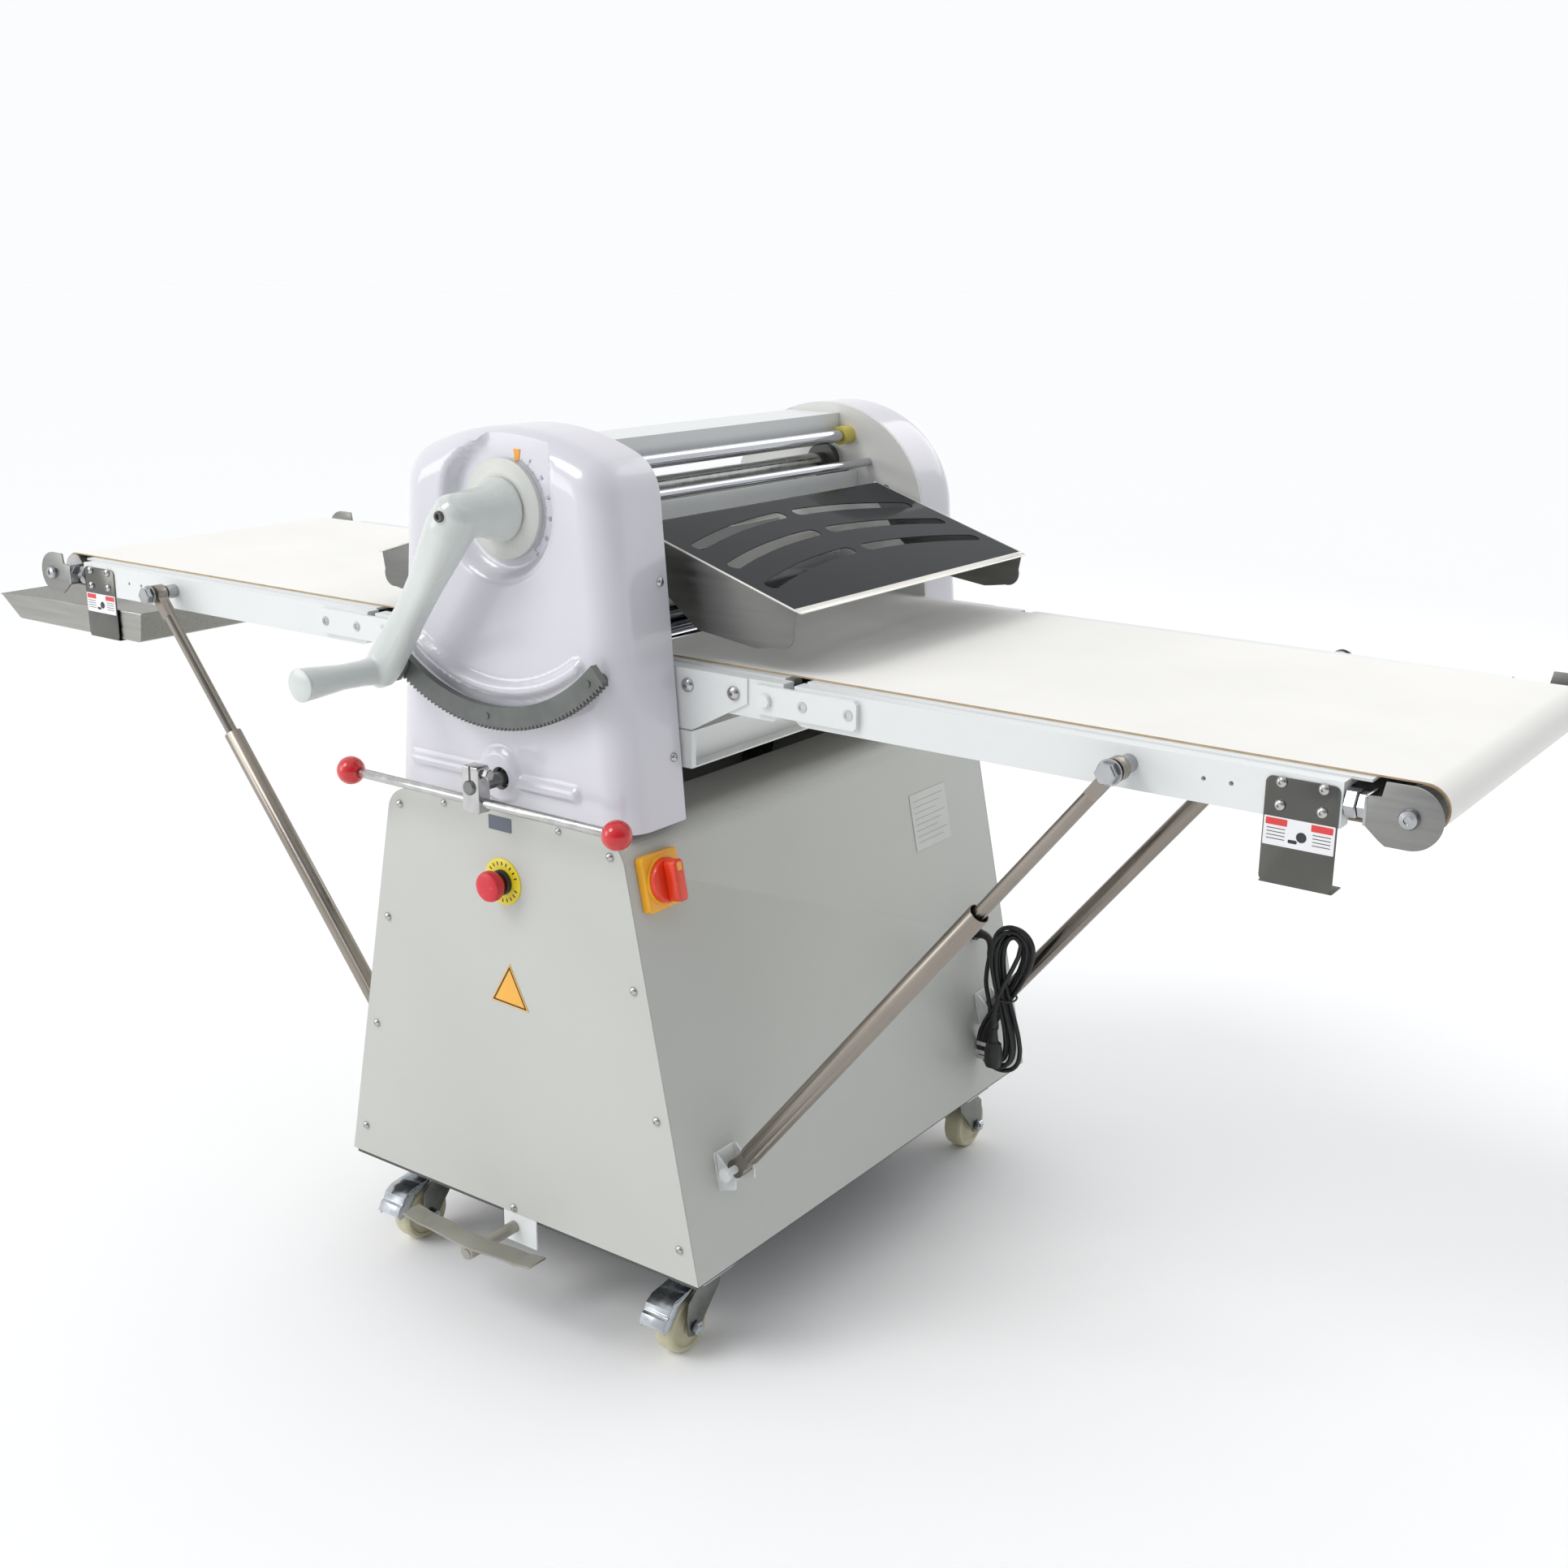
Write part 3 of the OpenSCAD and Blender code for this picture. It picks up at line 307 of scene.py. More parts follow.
def make_materials():
    m = {}

    def add(key, *values, **options):
        m[key] = surface(*values, **options)

    add("panel", "panel_paint", (0.53, 0.54, 0.505), 0.42, scale=3, vary=0.025, bump_scale=900,
        bump_mm=0.03)
    add("white", "white_powder_coat", (0.74, 0.76, 0.75), 0.36, scale=4, vary=0.02, bump_scale=1100,
        bump_mm=0.02)
    add("shell", "gloss_shell", (0.66, 0.65, 0.7), 0.2, scale=3, vary=0.02, rough_vary=0.04, coat=0.6,
        bump_scale=45, bump_mm=0.05)
    add("plate", "head_plate_paint", (0.72, 0.715, 0.69), 0.38, scale=3, vary=0.03, bump_scale=900,
        bump_mm=0.02)
    add("casting", "pale_casting_enamel", (0.62, 0.655, 0.63), 0.25, scale=9, vary=0.03, rough_vary=0.07,
        coat=0.35, bump_scale=160, bump_mm=0.06)
    add("dial", "dial_enamel", (0.63, 0.64, 0.6), 0.3, scale=8, vary=0.03, bump_scale=400, bump_mm=0.02)
    add("belt", "belt_cotton", (0.87, 0.855, 0.81), 0.72, scale=5, vary=0.025, sheen=0.25, specular=0.25)
    weave(m["belt"])
    add("belt_edge", "belt_cut_edge", (0.5, 0.37, 0.22), 0.8, scale=60, vary=0.12, bump_scale=1500,
        bump_mm=0.1)
    add("brushed", "brushed_stainless", (0.36, 0.355, 0.335), 0.34, metal=1, scale=4, stretch=(2, 40, 40),
        bump_scale=60, bump_mm=0.02, bump_stretch=(1, 30, 30))
    add("end_plate", "end_plate_steel", (0.27, 0.27, 0.26), 0.42, metal=0.9, scale=4, stretch=(2, 40, 40),
        vary=0.08, bump_scale=300, bump_mm=0.012, bump_stretch=(1, 20, 20))
    add("strut", "strut_stainless", (0.3, 0.27, 0.235), 0.3, metal=1, scale=5, vary=0.1, bump_scale=500,
        bump_mm=0.01)
    add("pedal", "pedal_stainless", (0.38, 0.365, 0.325), 0.38, metal=1, scale=14, vary=0.1, bump_scale=700)
    add("chrome", "polished_chrome", (0.52, 0.53, 0.56), 0.08, metal=1, scale=10, rough_vary=0.04,
        vary=0.02)
    add("bright", "bright_steel", (0.5, 0.5, 0.49), 0.2, metal=1, scale=60, rough_vary=0.1, vary=0.08)
    add("zinc", "bright_zinc", (0.5, 0.53, 0.56), 0.22, metal=1, scale=35, rough_vary=0.12, vary=0.12)
    add("fork", "fork_zinc", (0.2, 0.21, 0.195), 0.34, metal=1, scale=30, rough_vary=0.12, vary=0.14)
    add("guard", "guard_dark_steel", (0.012, 0.014, 0.018), 0.09, scale=5, rough_vary=0.05, vary=0.15,
        specular=0.05)
    add("cheek", "guard_cheek", (0.2, 0.2, 0.19), 0.4, metal=1, scale=4, stretch=(2, 30, 30), vary=0.08,
        bump_scale=60, bump_mm=0.02, bump_stretch=(1, 1, 30))
    add("lip", "guard_lip", (0.78, 0.76, 0.7), 0.25, metal=0.6, scale=9)
    add("quadrant", "quadrant_paint", (0.13, 0.14, 0.13), 0.38, metal=0.3, scale=25, vary=0.15,
        bump_scale=500)
    add("worn", "worn_steel", (0.42, 0.43, 0.42), 0.3, metal=1, scale=40, vary=0.15)
    add("dark", "dark_metal", (0.1, 0.1, 0.095), 0.45, metal=0.4, scale=12, vary=0.12, bump_scale=300)
    add("plate_dark", "mirror_sign_plate", (0.13, 0.13, 0.12), 0.16, metal=1, scale=7, vary=0.15)
    add("hex", "hex_steel", (0.42, 0.43, 0.44), 0.24, metal=1, scale=30, vary=0.15)
    add("red", "red_plastic", (0.62, 0.012, 0.018), 0.22, scale=12, vary=0.06, coat=0.5)
    add("stop_red", "stop_red_plastic", (0.62, 0.02, 0.035), 0.38, scale=12, vary=0.06, bump_scale=500)
    add("knob_red", "isolator_red_plastic", (0.8, 0.045, 0.01), 0.28, scale=12, vary=0.05, coat=0.3)
    add("yellow", "isolator_yellow_plastic", (0.88, 0.42, 0.015), 0.33, scale=12, vary=0.05, coat=0.2)
    add("legend", "legend_yellow", (0.8, 0.66, 0.02), 0.35, scale=14, vary=0.05)
    add("bush", "yellow_bush", (0.62, 0.52, 0.1), 0.38, scale=20, vary=0.08)
    add("pointer", "orange_pointer", (0.85, 0.36, 0.03), 0.45, scale=30, vary=0.05)
    add("label", "white_label", (0.82, 0.82, 0.83), 0.42, scale=20, vary=0.02)
    add("pale_label", "pale_data_plate", (0.6, 0.61, 0.58), 0.42, scale=20, vary=0.03)
    add("label_red", "label_red", (0.72, 0.05, 0.05), 0.42, scale=20, vary=0.04)
    add("sign_orange", "sign_orange", (0.87, 0.44, 0.06), 0.4, scale=20, vary=0.04)
    add("ink", "printed_ink", (0.03, 0.03, 0.035), 0.5, scale=50, vary=0.1)
    add("grey_ink", "grey_ink", (0.3, 0.31, 0.36), 0.5, scale=50, vary=0.08)
    add("blue_plate", "small_dark_plate", (0.11, 0.13, 0.16), 0.4, scale=20, vary=0.06)
    add("rubber", "cord_rubber", (0.012, 0.013, 0.013), 0.42, scale=80, vary=0.2, bump_scale=1200,
        bump_mm=0.03)
    add("nylon", "cream_nylon", (0.6, 0.56, 0.38), 0.36, scale=25, vary=0.06, bump_scale=300)
    add("black", "black_plastic", (0.02, 0.02, 0.02), 0.4, scale=60, vary=0.2, bump_scale=900)
    add("under", "under_steel", (0.2, 0.2, 0.19), 0.4, metal=0.5, scale=7, vary=0.1)
    return m


def weave(material):
    """Fine crossed ribs of the belt's cotton."""
    tree = material.node_tree
    shader = tree.nodes["Principled BSDF"]
    coords = tree.nodes.new("ShaderNodeTexCoord")
    add = tree.nodes.new("ShaderNodeMath")
    add.operation = "ADD"
    for axis in ("X", "Y"):
        wave = tree.nodes.new("ShaderNodeTexWave")
        wave.bands_direction = axis
        wave.inputs["Scale"].default_value = 260
        wave.inputs["Distortion"].default_value = 0.4
        tree.links.new(coords.outputs["Object"], wave.inputs["Vector"])
        tree.links.new(wave.outputs["Fac"], add.inputs[0 if axis == "X" else 1])
    node = tree.nodes.new("ShaderNodeBump")
    node.inputs["Strength"].default_value = 0.12
    node.inputs["Distance"].default_value = 0.05 * MM
    tree.links.new(add.outputs[0], node.inputs["Height"])
    tree.links.new(node.outputs["Normal"], shader.inputs["Normal"])


# ---------------------------------------------------------------- places that several pieces share
SIDE_LEAN = math.atan((0.61 - 0.384) / 2 / 0.544)
SHAFT_Z = 1.046
PIVOT_Z = 0.722
AXIS_Z = 0.845
BELT_TOP = 0.87
END_X = 1.057
SIGN_X = 0.951
STRUT_X = 0.769
RAIL_FACE = 0.2826
WHEEL_Z = 0.038


def side_x(z):
    """Half width of the leaning cabinet at height z."""
    return 0.305 - (z - 0.136) * math.tan(SIDE_LEAN)


def on_right_cover(y, z, lift):
    return facing_along((side_x(z) + lift, y, z), (math.cos(SIDE_LEAN), 0, math.sin(SIDE_LEAN)))


# ---------------------------------------------------------------- mains lead
CORD_D = 0.007
LEAD = [(270, 316, 366), (278, 316, 365), (285.5, 315, 360.5), (290, 311.5, 351.5), (292, 306, 340),
    (293.5, 299.5, 328), (295.5, 293, 316), (298.5, 287.5, 304.5), (302.5, 284.5, 293), (306, 284, 281),
    (308.5, 284, 270)]


def lattice(step):
    """Row and column that a turn of the hank takes in the bundle."""
    places = ((0, 0), (0, 1), (1, 1), (1, 0), (2, 0), (2, 1))
    return places[min(step, len(places) - 1)]


def hank_point(turn, share):
    """A point of one figure-eight turn; turns lie a diameter apart in rows and columns."""
    a = 2 * math.pi * share
    top, foot = Vector((0.35, 0, 0.382)), Vector((0.33, 0, 0.212))
    axis = (top - foot).normalized()
    across = Vector((axis.z, 0, -axis.x))
    drift = max(0.0, (share - 0.8) / 0.2)
    drift = drift * drift * (3 - 2 * drift)
    (row, col), (next_row, next_col) = lattice(turn), lattice(turn + 1)
    row += (next_row - row) * drift
    col += (next_col - col) * drift
    pitch = CORD_D * 1.03
    upper = 0.5 + 0.5 * math.cos(a)
    width = (0.0265 - pitch * row * 0.8) * upper + (0.0205 + pitch * row) * (1 - upper)
    reach = (0.1105 - pitch * row) * upper + (0.104 + pitch * row) * (1 - upper)
    p = (top + foot) / 2 + axis * (reach * math.cos(a))
    p += across * (width * math.sin(2 * a) + (1 - row) * pitch * math.sin(a))
    p.y = 0.288 - CORD_D / 2 - pitch * col - pitch * (1 - math.sin(a))
    return p


LEAD_END = [(337, 257, 302), (336, 252, 288), (336, 248.5, 275), (337, 247, 262), (338, 246.5, 250)]


def cord_path():
    turns, per_turn, first = 5, 24, 8
    coil = [hank_point(k // per_turn, (k % per_turn) / per_turn)
        for k in range(first, turns * per_turn + 3)]
    return [Vector(p) * MM for p in LEAD] + [Vector((0.3105, 0.2842, 0.257))] + coil + [Vector(p) * MM
        for p in LEAD_END]


def make_plug(m):
    body = tube("plug_body", [(0.338, 0.2465, z) for z in (0.236, 0.233, 0.222, 0.204, 0.198)],
        [0.0075, 0.011, 0.0132, 0.0132, 0.011], 20)
    collar = tube("plug_relief", [(0.338, 0.2465, 0.234), (0.338, 0.2465, 0.246), (0.3378, 0.2466, 0.256)],
        [0.0068, 0.0056, 0.0045], 16)
    plug = finish_join("plug", [body, collar], 35, "cabinet", "black_rubber", m["rubber"], ["cord_plug"])
    pins = [plate("pin", rounded_rect(-0.003, 0.003, -0.001, 0.017, 0.001), 0.0018,
        Matrix(((0, -1, 0, 0.3265), (0, 0, -1, y), (1, 0, 0, z), (0, 0, 0, 1))), 0.0002)
        for y, z in ((0.2475, 0.227), (0.2475, 0.206), (0.242, 0.2165))]
    blades = finish_join("plug_pins", pins, 35, "cabinet", "bright_steel", m["bright"])
    return plug, blades


def make_cord(m):
    points = cord_path()
    curve = bpy.data.curves.new("mains_lead", "CURVE")
    curve.dimensions = "3D"
    spline = curve.splines.new("BEZIER")
    spline.bezier_points.add(len(points) - 1)
    for target, p in zip(spline.bezier_points, points):
        target.co = p
        target.handle_left_type = target.handle_right_type = "AUTO"
    curve.bevel_depth = CORD_D / 2
    curve.bevel_resolution = 4
    curve.resolution_u = 4
    curve.use_fill_caps = True
    lead = bpy.data.objects.new("mains_lead", curve)
    bpy.context.scene.collection.objects.link(lead)
    curve.materials.append(m["rubber"])
    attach(lead, "cabinet")
    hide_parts("cord_lead", "cord_hank")
    relief = tube("strain_relief", smooth_line([Vector(p) * MM for p in LEAD[:5]], 4),
        [0.0066 - 0.0024 * k / 16 for k in range(17)], 16)
    finish_piece(relief, "cabinet", "black_rubber", m["rubber"])
    ring = [Vector((0.34, 0.2735, 0.297))
        + Vector((0.015 * math.cos(t), 0.018 * math.sin(t), -0.002 * math.cos(t)))
        for t in (2 * math.pi * k / 24 for k in range(25))]
    tie = tube("hank_tie", ring, 0.0016, 8)
    finish_piece(tie, "cabinet", "black_plastic", m["black"])
    plug, blades = make_plug(m)


make_camera()
materials = make_materials()
make_cord(materials)


# ---------------------------------------------------------------- head covers
HEAD_FACE = 0.392
COVER_IN = 0.2892
HEAD_LOW = 0.681
EDGE_R = 0.04


def front_outline(inset):
    """Half outline of the front head, from its foot over the corner to the crown."""
    lean = math.radians(5.2)
    corner_r, crown_r, crown_z = 0.056, 0.33, 1.14 - 0.33
    side = 0.2 - corner_r / math.cos(lean)
    # the corner circle touches the leaning side and the crown from inside
    k = 1 + math.tan(lean) ** 2
    a = side + HEAD_LOW * math.tan(lean)
    m = a * math.tan(lean) + crown_z
    cz = (m + math.sqrt(m * m - k * (a * a + crown_z ** 2 - (crown_r - corner_r) ** 2))) / k
    cx = a - cz * math.tan(lean)
    meet = math.degrees(math.atan2(cz - crown_z, cx))
    foot = 0.2 - inset / math.cos(lean)
    straight = [(foot + (cx + (corner_r - inset) * math.cos(lean) - foot) * t,
        HEAD_LOW + (cz + (corner_r - inset) * math.sin(lean) - HEAD_LOW) * t)
        for t in [i / 70 for i in range(70)]]
    return (straight + arc_points(cx, cz, corner_r - inset, 5.2, meet, 16)[:-1]
        + arc_points(0, crown_z, crown_r - inset, meet, 90, 24))


def rear_outline(inset):
    lean = math.tan(math.radians(5.2))
    half, high, arch_z = 0.165, 0.15, 0.978
    foot = half + (arch_z - HEAD_LOW) * lean - inset
    straight = [(foot + (half - inset - foot) * t, HEAD_LOW + (arch_z - HEAD_LOW) * t)
        for t in [i / 64 for i in range(64)]]
    return straight + [((half - inset) * math.cos(math.radians(d)),
        arch_z + (high - inset) * math.sin(math.radians(d))) for d in [90 * i / 44 for i in range(45)]]


def whole(half):
    return half + [(-x, z) for x, z in reversed(half[:-1])]


def smoothstep(t):
    t = min(1.0, max(0.0, t))
    return t * t * (3 - 2 * t)


def capsule(x, z, x0, x1, z0, radius, height):
    """Height of a rounded rib along X at (x, z)."""
    d = math.hypot(x - min(max(x, x0 + radius), x1 - radius), z - z0)
    return height * smoothstep((radius - d) / (radius * 0.75))


def front_relief(x, z):
    """How far the front face lies behind (+) or stands before (-) its plane."""
    r = math.hypot(x, z - 1.05)
    inside = 0.092 - r
    if z > 1.05:
        inside = max(inside, min(0.088 - x, x + 0.045))
    sunk = 0.019 * smoothstep(inside / 0.019)
    turn = math.degrees(math.atan2(z - 1.048, x + 0.005))
    ring = math.hypot(x + 0.005, z - 1.048)
    from_end = min(max(turn, -126.0), -53.4)
    off = math.hypot(ring - 0.2165, 0.2165 * math.radians(turn - from_end)) if turn < 0 else 1
    raised = 0.008 * smoothstep((0.0125 - off) / 0.009)
    outer_off = math.hypot(ring - 0.232, 0.232 * math.radians(turn - from_end)) if turn < 0 else 1
    raised = max(raised, 0.0035 * smoothstep((0.0125 - outer_off) / 0.008))
    boss = math.hypot(x + 0.005, z - 0.724)
    ribs = max(capsule(x, z, -0.163, -0.02, PIVOT_Z, 0.011, 0.007),
        capsule(x, z, 0.014, 0.128, 0.72, 0.012, 0.007))
    ribs = max(ribs, 0.007 * smoothstep((0.037 - boss) / 0.009))
    hole = math.hypot(x, z - PIVOT_Z)
    sunk_hole = 0.014 if hole < 0.0138 else 0
    return sunk - raised - ribs + sunk_hole


def cover_mesh(name, outline, relief, spacing):
    """A rounded shell: a face inside rings that follow the edge rounding, and a wall back to the plate."""
    insets = [EDGE_R * (1 - math.cos(math.radians(a))) for a in (0, 8, 16, 24, 33, 42, 51, 60, 70, 80, 90)]
    points, edges = [], []
    loops = [whole(outline(d)) for d in insets]
    for d, loop in zip(insets, loops):
        start = len(points)
        points += [(x, z, d) for x, z in loop]
        edges += [(start + i, start + i + 1) for i in range(len(loop) - 1)]
        if d == insets[0]:
            edges.append((start + len(loop) - 1, start))
    inner = loops[-1]
    top = max(z for x, z in inner)
    rows = int((top - HEAD_LOW) / spacing)
    for i in range(rows):
        z = HEAD_LOW + (top - HEAD_LOW) * i / rows
        limit = max((min(a[0], b[0]) for a, b in zip(inner, inner[1:]) if a[0] > 0 and a[1] <= z <= b[1]
            + 1e-9), default=0) - spacing * 0.6
        steps = max(1, int(2 * limit / spacing))
        if limit > spacing:
            row = [-limit + 2 * limit * (k + 0.5 * (i % 2) * (k < steps)) / steps for k in range(steps + 1)]
            points += [(x, z, EDGE_R)
                for x in row if not relief or abs(math.hypot(x, z - PIVOT_Z) - 0.0139) > 0.0022]
    for radius in (0.0136, 0.0142) if relief else ():
        start = len(points)
        circle = arc_points(0, PIVOT_Z, radius, 0, 350, 35)
        points += [(x, z, EDGE_R) for x, z in circle]
        edges += [(start + i, start + (i + 1) % len(circle)) for i in range(len(circle))]
    flat = [Vector((x, z)) for x, z, d in points]
    verts, _, faces, origin, _, _ = delaunay_2d_cdt(flat, edges, [], 1, 1e-6)
    bm = bmesh.new()
    made = []
    for v, source in zip(verts, origin):
        d = points[source[0]][2] if source else EDGE_R
        rounding = EDGE_R - math.sqrt(max(0, EDGE_R ** 2 - (EDGE_R - d) ** 2))
        sink = relief(v.x, v.y) if relief else 0
        depth = rounding + sink * smoothstep(d / (EDGE_R * 0.35)) if sink < 0 else max(rounding, sink)
        made.append(bm.verts.new((v.x, -HEAD_FACE + depth, v.y)))
    for face in faces:
        bm.faces.new([made[k] for k in face])
    rim = [made[i] for i in range(len(loops[0]))]
    last = rim
    for y in (-0.34, -0.315, -COVER_IN):
        ring = [bm.verts.new((v.co.x, y, v.co.z)) for v in rim]
        for k in range(len(rim) - 1):
            bm.faces.new((last[k], last[k + 1], ring[k + 1], ring[k]))
        last = ring
    piece = from_bmesh(name, bm, 50)
    add_modifier(piece, "SOLIDIFY", thickness=0.003, offset=1 if is_outward(piece) else -1)
    bake_modifiers(piece)
    piece.data.shade_smooth()
    piece.data.set_sharp_from_angle(angle=math.radians(50))
    return piece


def is_outward(piece):
    """True where the face normals lean towards +Y, which decides the side that the wall grows on."""
    return sum(p.normal.y * p.area for p in piece.data.polygons) > 0


def make_covers(m):
    front = cover_mesh("front_head_shell", front_outline, front_relief, 0.0042)
    finish_piece(front, "cabinet", "white_shell", m["shell"], ["front_head_cover"])
    rear = cover_mesh("rear_head_shell", rear_outline, None, 0.012)
    rear.data.transform(Matrix.Scale(-1, 4, (0, 1, 0)))
    rear.data.flip_normals()
    finish_piece(rear, "cabinet", "white_shell", m["shell"], ["rear_head_cover"])
    hole = lathe("pivot_hole_liner", [(0.0, 0), (0.0125, 0), (0.0132, 0.012), (0.0142, 0.0125),
        (0.0142, 0.0)], front_axis(0, -0.3925 + 0.014, PIVOT_Z))
    finish_piece(hole, "cabinet", "black_plastic", m["black"])


# ---------------------------------------------------------------- dial, pointer and gap lever
DIAL_FACE = 0.383


def text_piece(name, word, size, to_world):
    curve = bpy.data.curves.new(name, "FONT")
    curve.body = word
    curve.size = size
    curve.align_x = "CENTER"
    curve.align_y = "CENTER"
    curve.extrude = 0.00015
    piece = bpy.data.objects.new(name, curve)
    bpy.context.scene.collection.objects.link(piece)
    bake_curve = bpy.data.meshes.new_from_object(piece.evaluated_get(bpy.context.evaluated_depsgraph_get()))
    bpy.data.objects.remove(piece)
    solid = link(name, bake_curve, 0)
    solid.data.transform(to_world)
    return solid


def make_dial(m):
    profile = [(0.012, 0.0), (0.0585, 0.0), (0.0592, 0.0012), (0.0592, 0.0082), (0.0578, 0.0094),
        (0.05, 0.0096), (0.049, 0.0103), (0.04, 0.0104), (0.012, 0.0104)]
    dial = lathe("gap_dial_disc", profile, front_axis(0, -DIAL_FACE + 0.0104, SHAFT_Z), 96)
    finish_piece(dial, "gap_lever", "pale_casting", m["dial"], ["gap_dial"])
    floor = facing_front(-0.3735)
    marks = []
    for k in range(0, 61):
        angle = math.radians(75 - 2 * k)
        long = 0.005 if k % 10 == 0 else (0.0038 if k % 5 == 0 else 0.0024)
        place = floor @ Matrix.Translation((0, SHAFT_Z, 0)) @ Matrix.Rotation(angle, 4, "Z")
        marks.append(plate("tick", [(0.0612, -0.0002), (0.0612 + long, -0.0002), (0.0612 + long, 0.0002),
            (0.0612, 0.0002)], 0.0002, place, 0))
        if k % 10 == 0:
            at = place @ Matrix.Translation((0.07, 0, 0)) @ Matrix.Rotation(-math.pi / 2, 4, "Z")
            marks.append(text_piece("number", str(k // 2), 0.0058, at))
    finish_join("dial_scale", marks, 0, "cabinet", "black_plastic", m["grey_ink"])
    pointer = plate("gap_pointer", [(0.0145, 1.116), (0.0255, 1.116), (0.0226, 1.1025), (0.0174, 1.1025)],
        0.0008, facing_front(-0.3731), 0.0002)
    finish_piece(pointer, "cabinet", "yellow_plastic", m["pointer"])


def loft(name, stations, steps=28):
    """A bar through (centre, wide, half_w, thick, half_t, squareness) stations."""
    bm = bmesh.new()
    rings = []
    for centre, wide, half_w, thick, half_t, square in stations:
        centre, wide, thick = Vector(centre), Vector(wide).normalized(), Vector(thick).normalized()
        ring = []
        for k in range(steps):
            a = 2 * math.pi * k / steps
            c, s = math.cos(a), math.sin(a)
            ring.append(bm.verts.new(centre + wide * (half_w * math.copysign(abs(c) ** square, c))
                + thick * (half_t * math.copysign(abs(s) ** square, s))))
        rings.append(ring)
    for a, b in zip(rings, rings[1:]):
        for k in range(steps):
            n = (k + 1) % steps
            bm.faces.new((a[k], a[n], b[n], b[k]))
    bm.faces.new(rings[0])
    bm.faces.new(rings[-1])
    return from_bmesh(name, bm, 0)


def make_gap_lever(m):
    elbow = Vector((-0.1435, -0.45, 0.845))
    down = (elbow - Vector((0, -0.45, SHAFT_Z))).normalized()
    side = Vector((0, 1, 0)).cross(down).normalized()
    front = Vector((0, 1, 0))

    def at(share, y, off=0.0):
        p = Vector((0, y, SHAFT_Z)) + down * (0.247 * share) + side * off
        return (p.x, y, p.z)
    arm = [(at(-0.085, -0.452), side, 0.016, front, 0.02, 0.9),
        (at(-0.04, -0.453), side, 0.0262, front, 0.027, 0.9),
        (at(0.08, -0.454), side, 0.0275, front, 0.027, 0.8),
        (at(0.22, -0.452), side, 0.0245, front, 0.023, 0.72),
        (at(0.42, -0.449), side, 0.0205, front, 0.018, 0.68),
        (at(0.62, -0.448), side, 0.019, front, 0.0165, 0.66),
        (at(0.8, -0.449), side, 0.0215, front, 0.0165, 0.66),
        (at(0.93, -0.45), side, 0.0235, front, 0.0175, 0.7),
        (at(1.02, -0.451), side, 0.0215, front, 0.0165, 0.8),
        (at(1.07, -0.452), side, 0.014, front, 0.011, 0.9)]
    arm_mesh = loft("arm", arm)
    x_dir, z_dir = Vector((1, 0, 0)), Vector((0, 0, 1))
    grip = [((-0.1435, -0.436, 0.8455), x_dir, 0.016, z_dir, 0.015, 0.9),
        ((-0.144, -0.452, 0.8455), x_dir, 0.019, z_dir, 0.0185, 0.9),
        ((-0.145, -0.48, 0.8462), x_dir, 0.016, z_dir, 0.016, 1),
        ((-0.1457, -0.51, 0.847), x_dir, 0.0155, z_dir, 0.0155, 1),
        ((-0.1463, -0.54, 0.8475), x_dir, 0.018, z_dir, 0.018, 1),
        ((-0.1468, -0.562, 0.848), x_dir, 0.0198, z_dir, 0.0198, 1),
        ((-0.147, -0.5715, 0.848), x_dir, 0.02, z_dir, 0.02, 1)]
    grip_mesh = loft("grip", grip, 32)
    hub = lathe("hub", [(0, 0), (0.0375, 0), (0.0385, 0.004), (0.035, 0.014), (0.03, 0.03), (0.0275, 0.05),
        (0.0262, 0.068), (0.0235, 0.08), (0.0185, 0.088), (0.01, 0.0925), (0, 0.093)],
        front_axis(0, -DIAL_FACE - 0.0004, SHAFT_Z), 48)
    lever = join("gap_lever_casting", [arm_mesh, grip_mesh, hub], 0)
    add_modifier(lever, "REMESH", mode="VOXEL", voxel_size=0.0019, adaptivity=0)
    add_modifier(lever, "SMOOTH", factor=0.5, iterations=9)
    bake_modifiers(lever)
    lever.data.shade_smooth()
    finish_piece(lever, "gap_lever", "pale_casting", m["casting"], ["gap_lever"])
    cap = lathe("grip_cap", [(0, -0.001), (0.0196, -0.001), (0.0203, 0.0004), (0.02, 0.0018),
        (0.0188, 0.0024), (0, 0.0024)], front_axis(-0.147, -0.5712, 0.848), 40)
    finish_piece(cap, "gap_lever", "pale_casting", m["casting"])
    socket = lathe("shaft_screw", [(0, 0.0008), (0.0026, 0.0008), (0.0034, 0.0034), (0.0058, 0.0036),
        (0.0066, 0.0024), (0.0066, -0.004)], front_axis(0, -0.4803, SHAFT_Z + 0.002), 24)
    finish_piece(socket, "gap_lever", "dark_steel", m["dark"])
    catch = [loft("catch", [((-0.1435, -0.4205, 0.845), down, 0.017, side, 0.012, 0.5),
        ((-0.1435, -0.436, 0.845), down, 0.017, side, 0.012, 0.5),
        ((-0.1435, -0.441, 0.845), down, 0.013, side, 0.01, 0.6)])]
    finish_join("lever_latch", catch, 30, "gap_lever", "dark_steel", m["quadrant"])


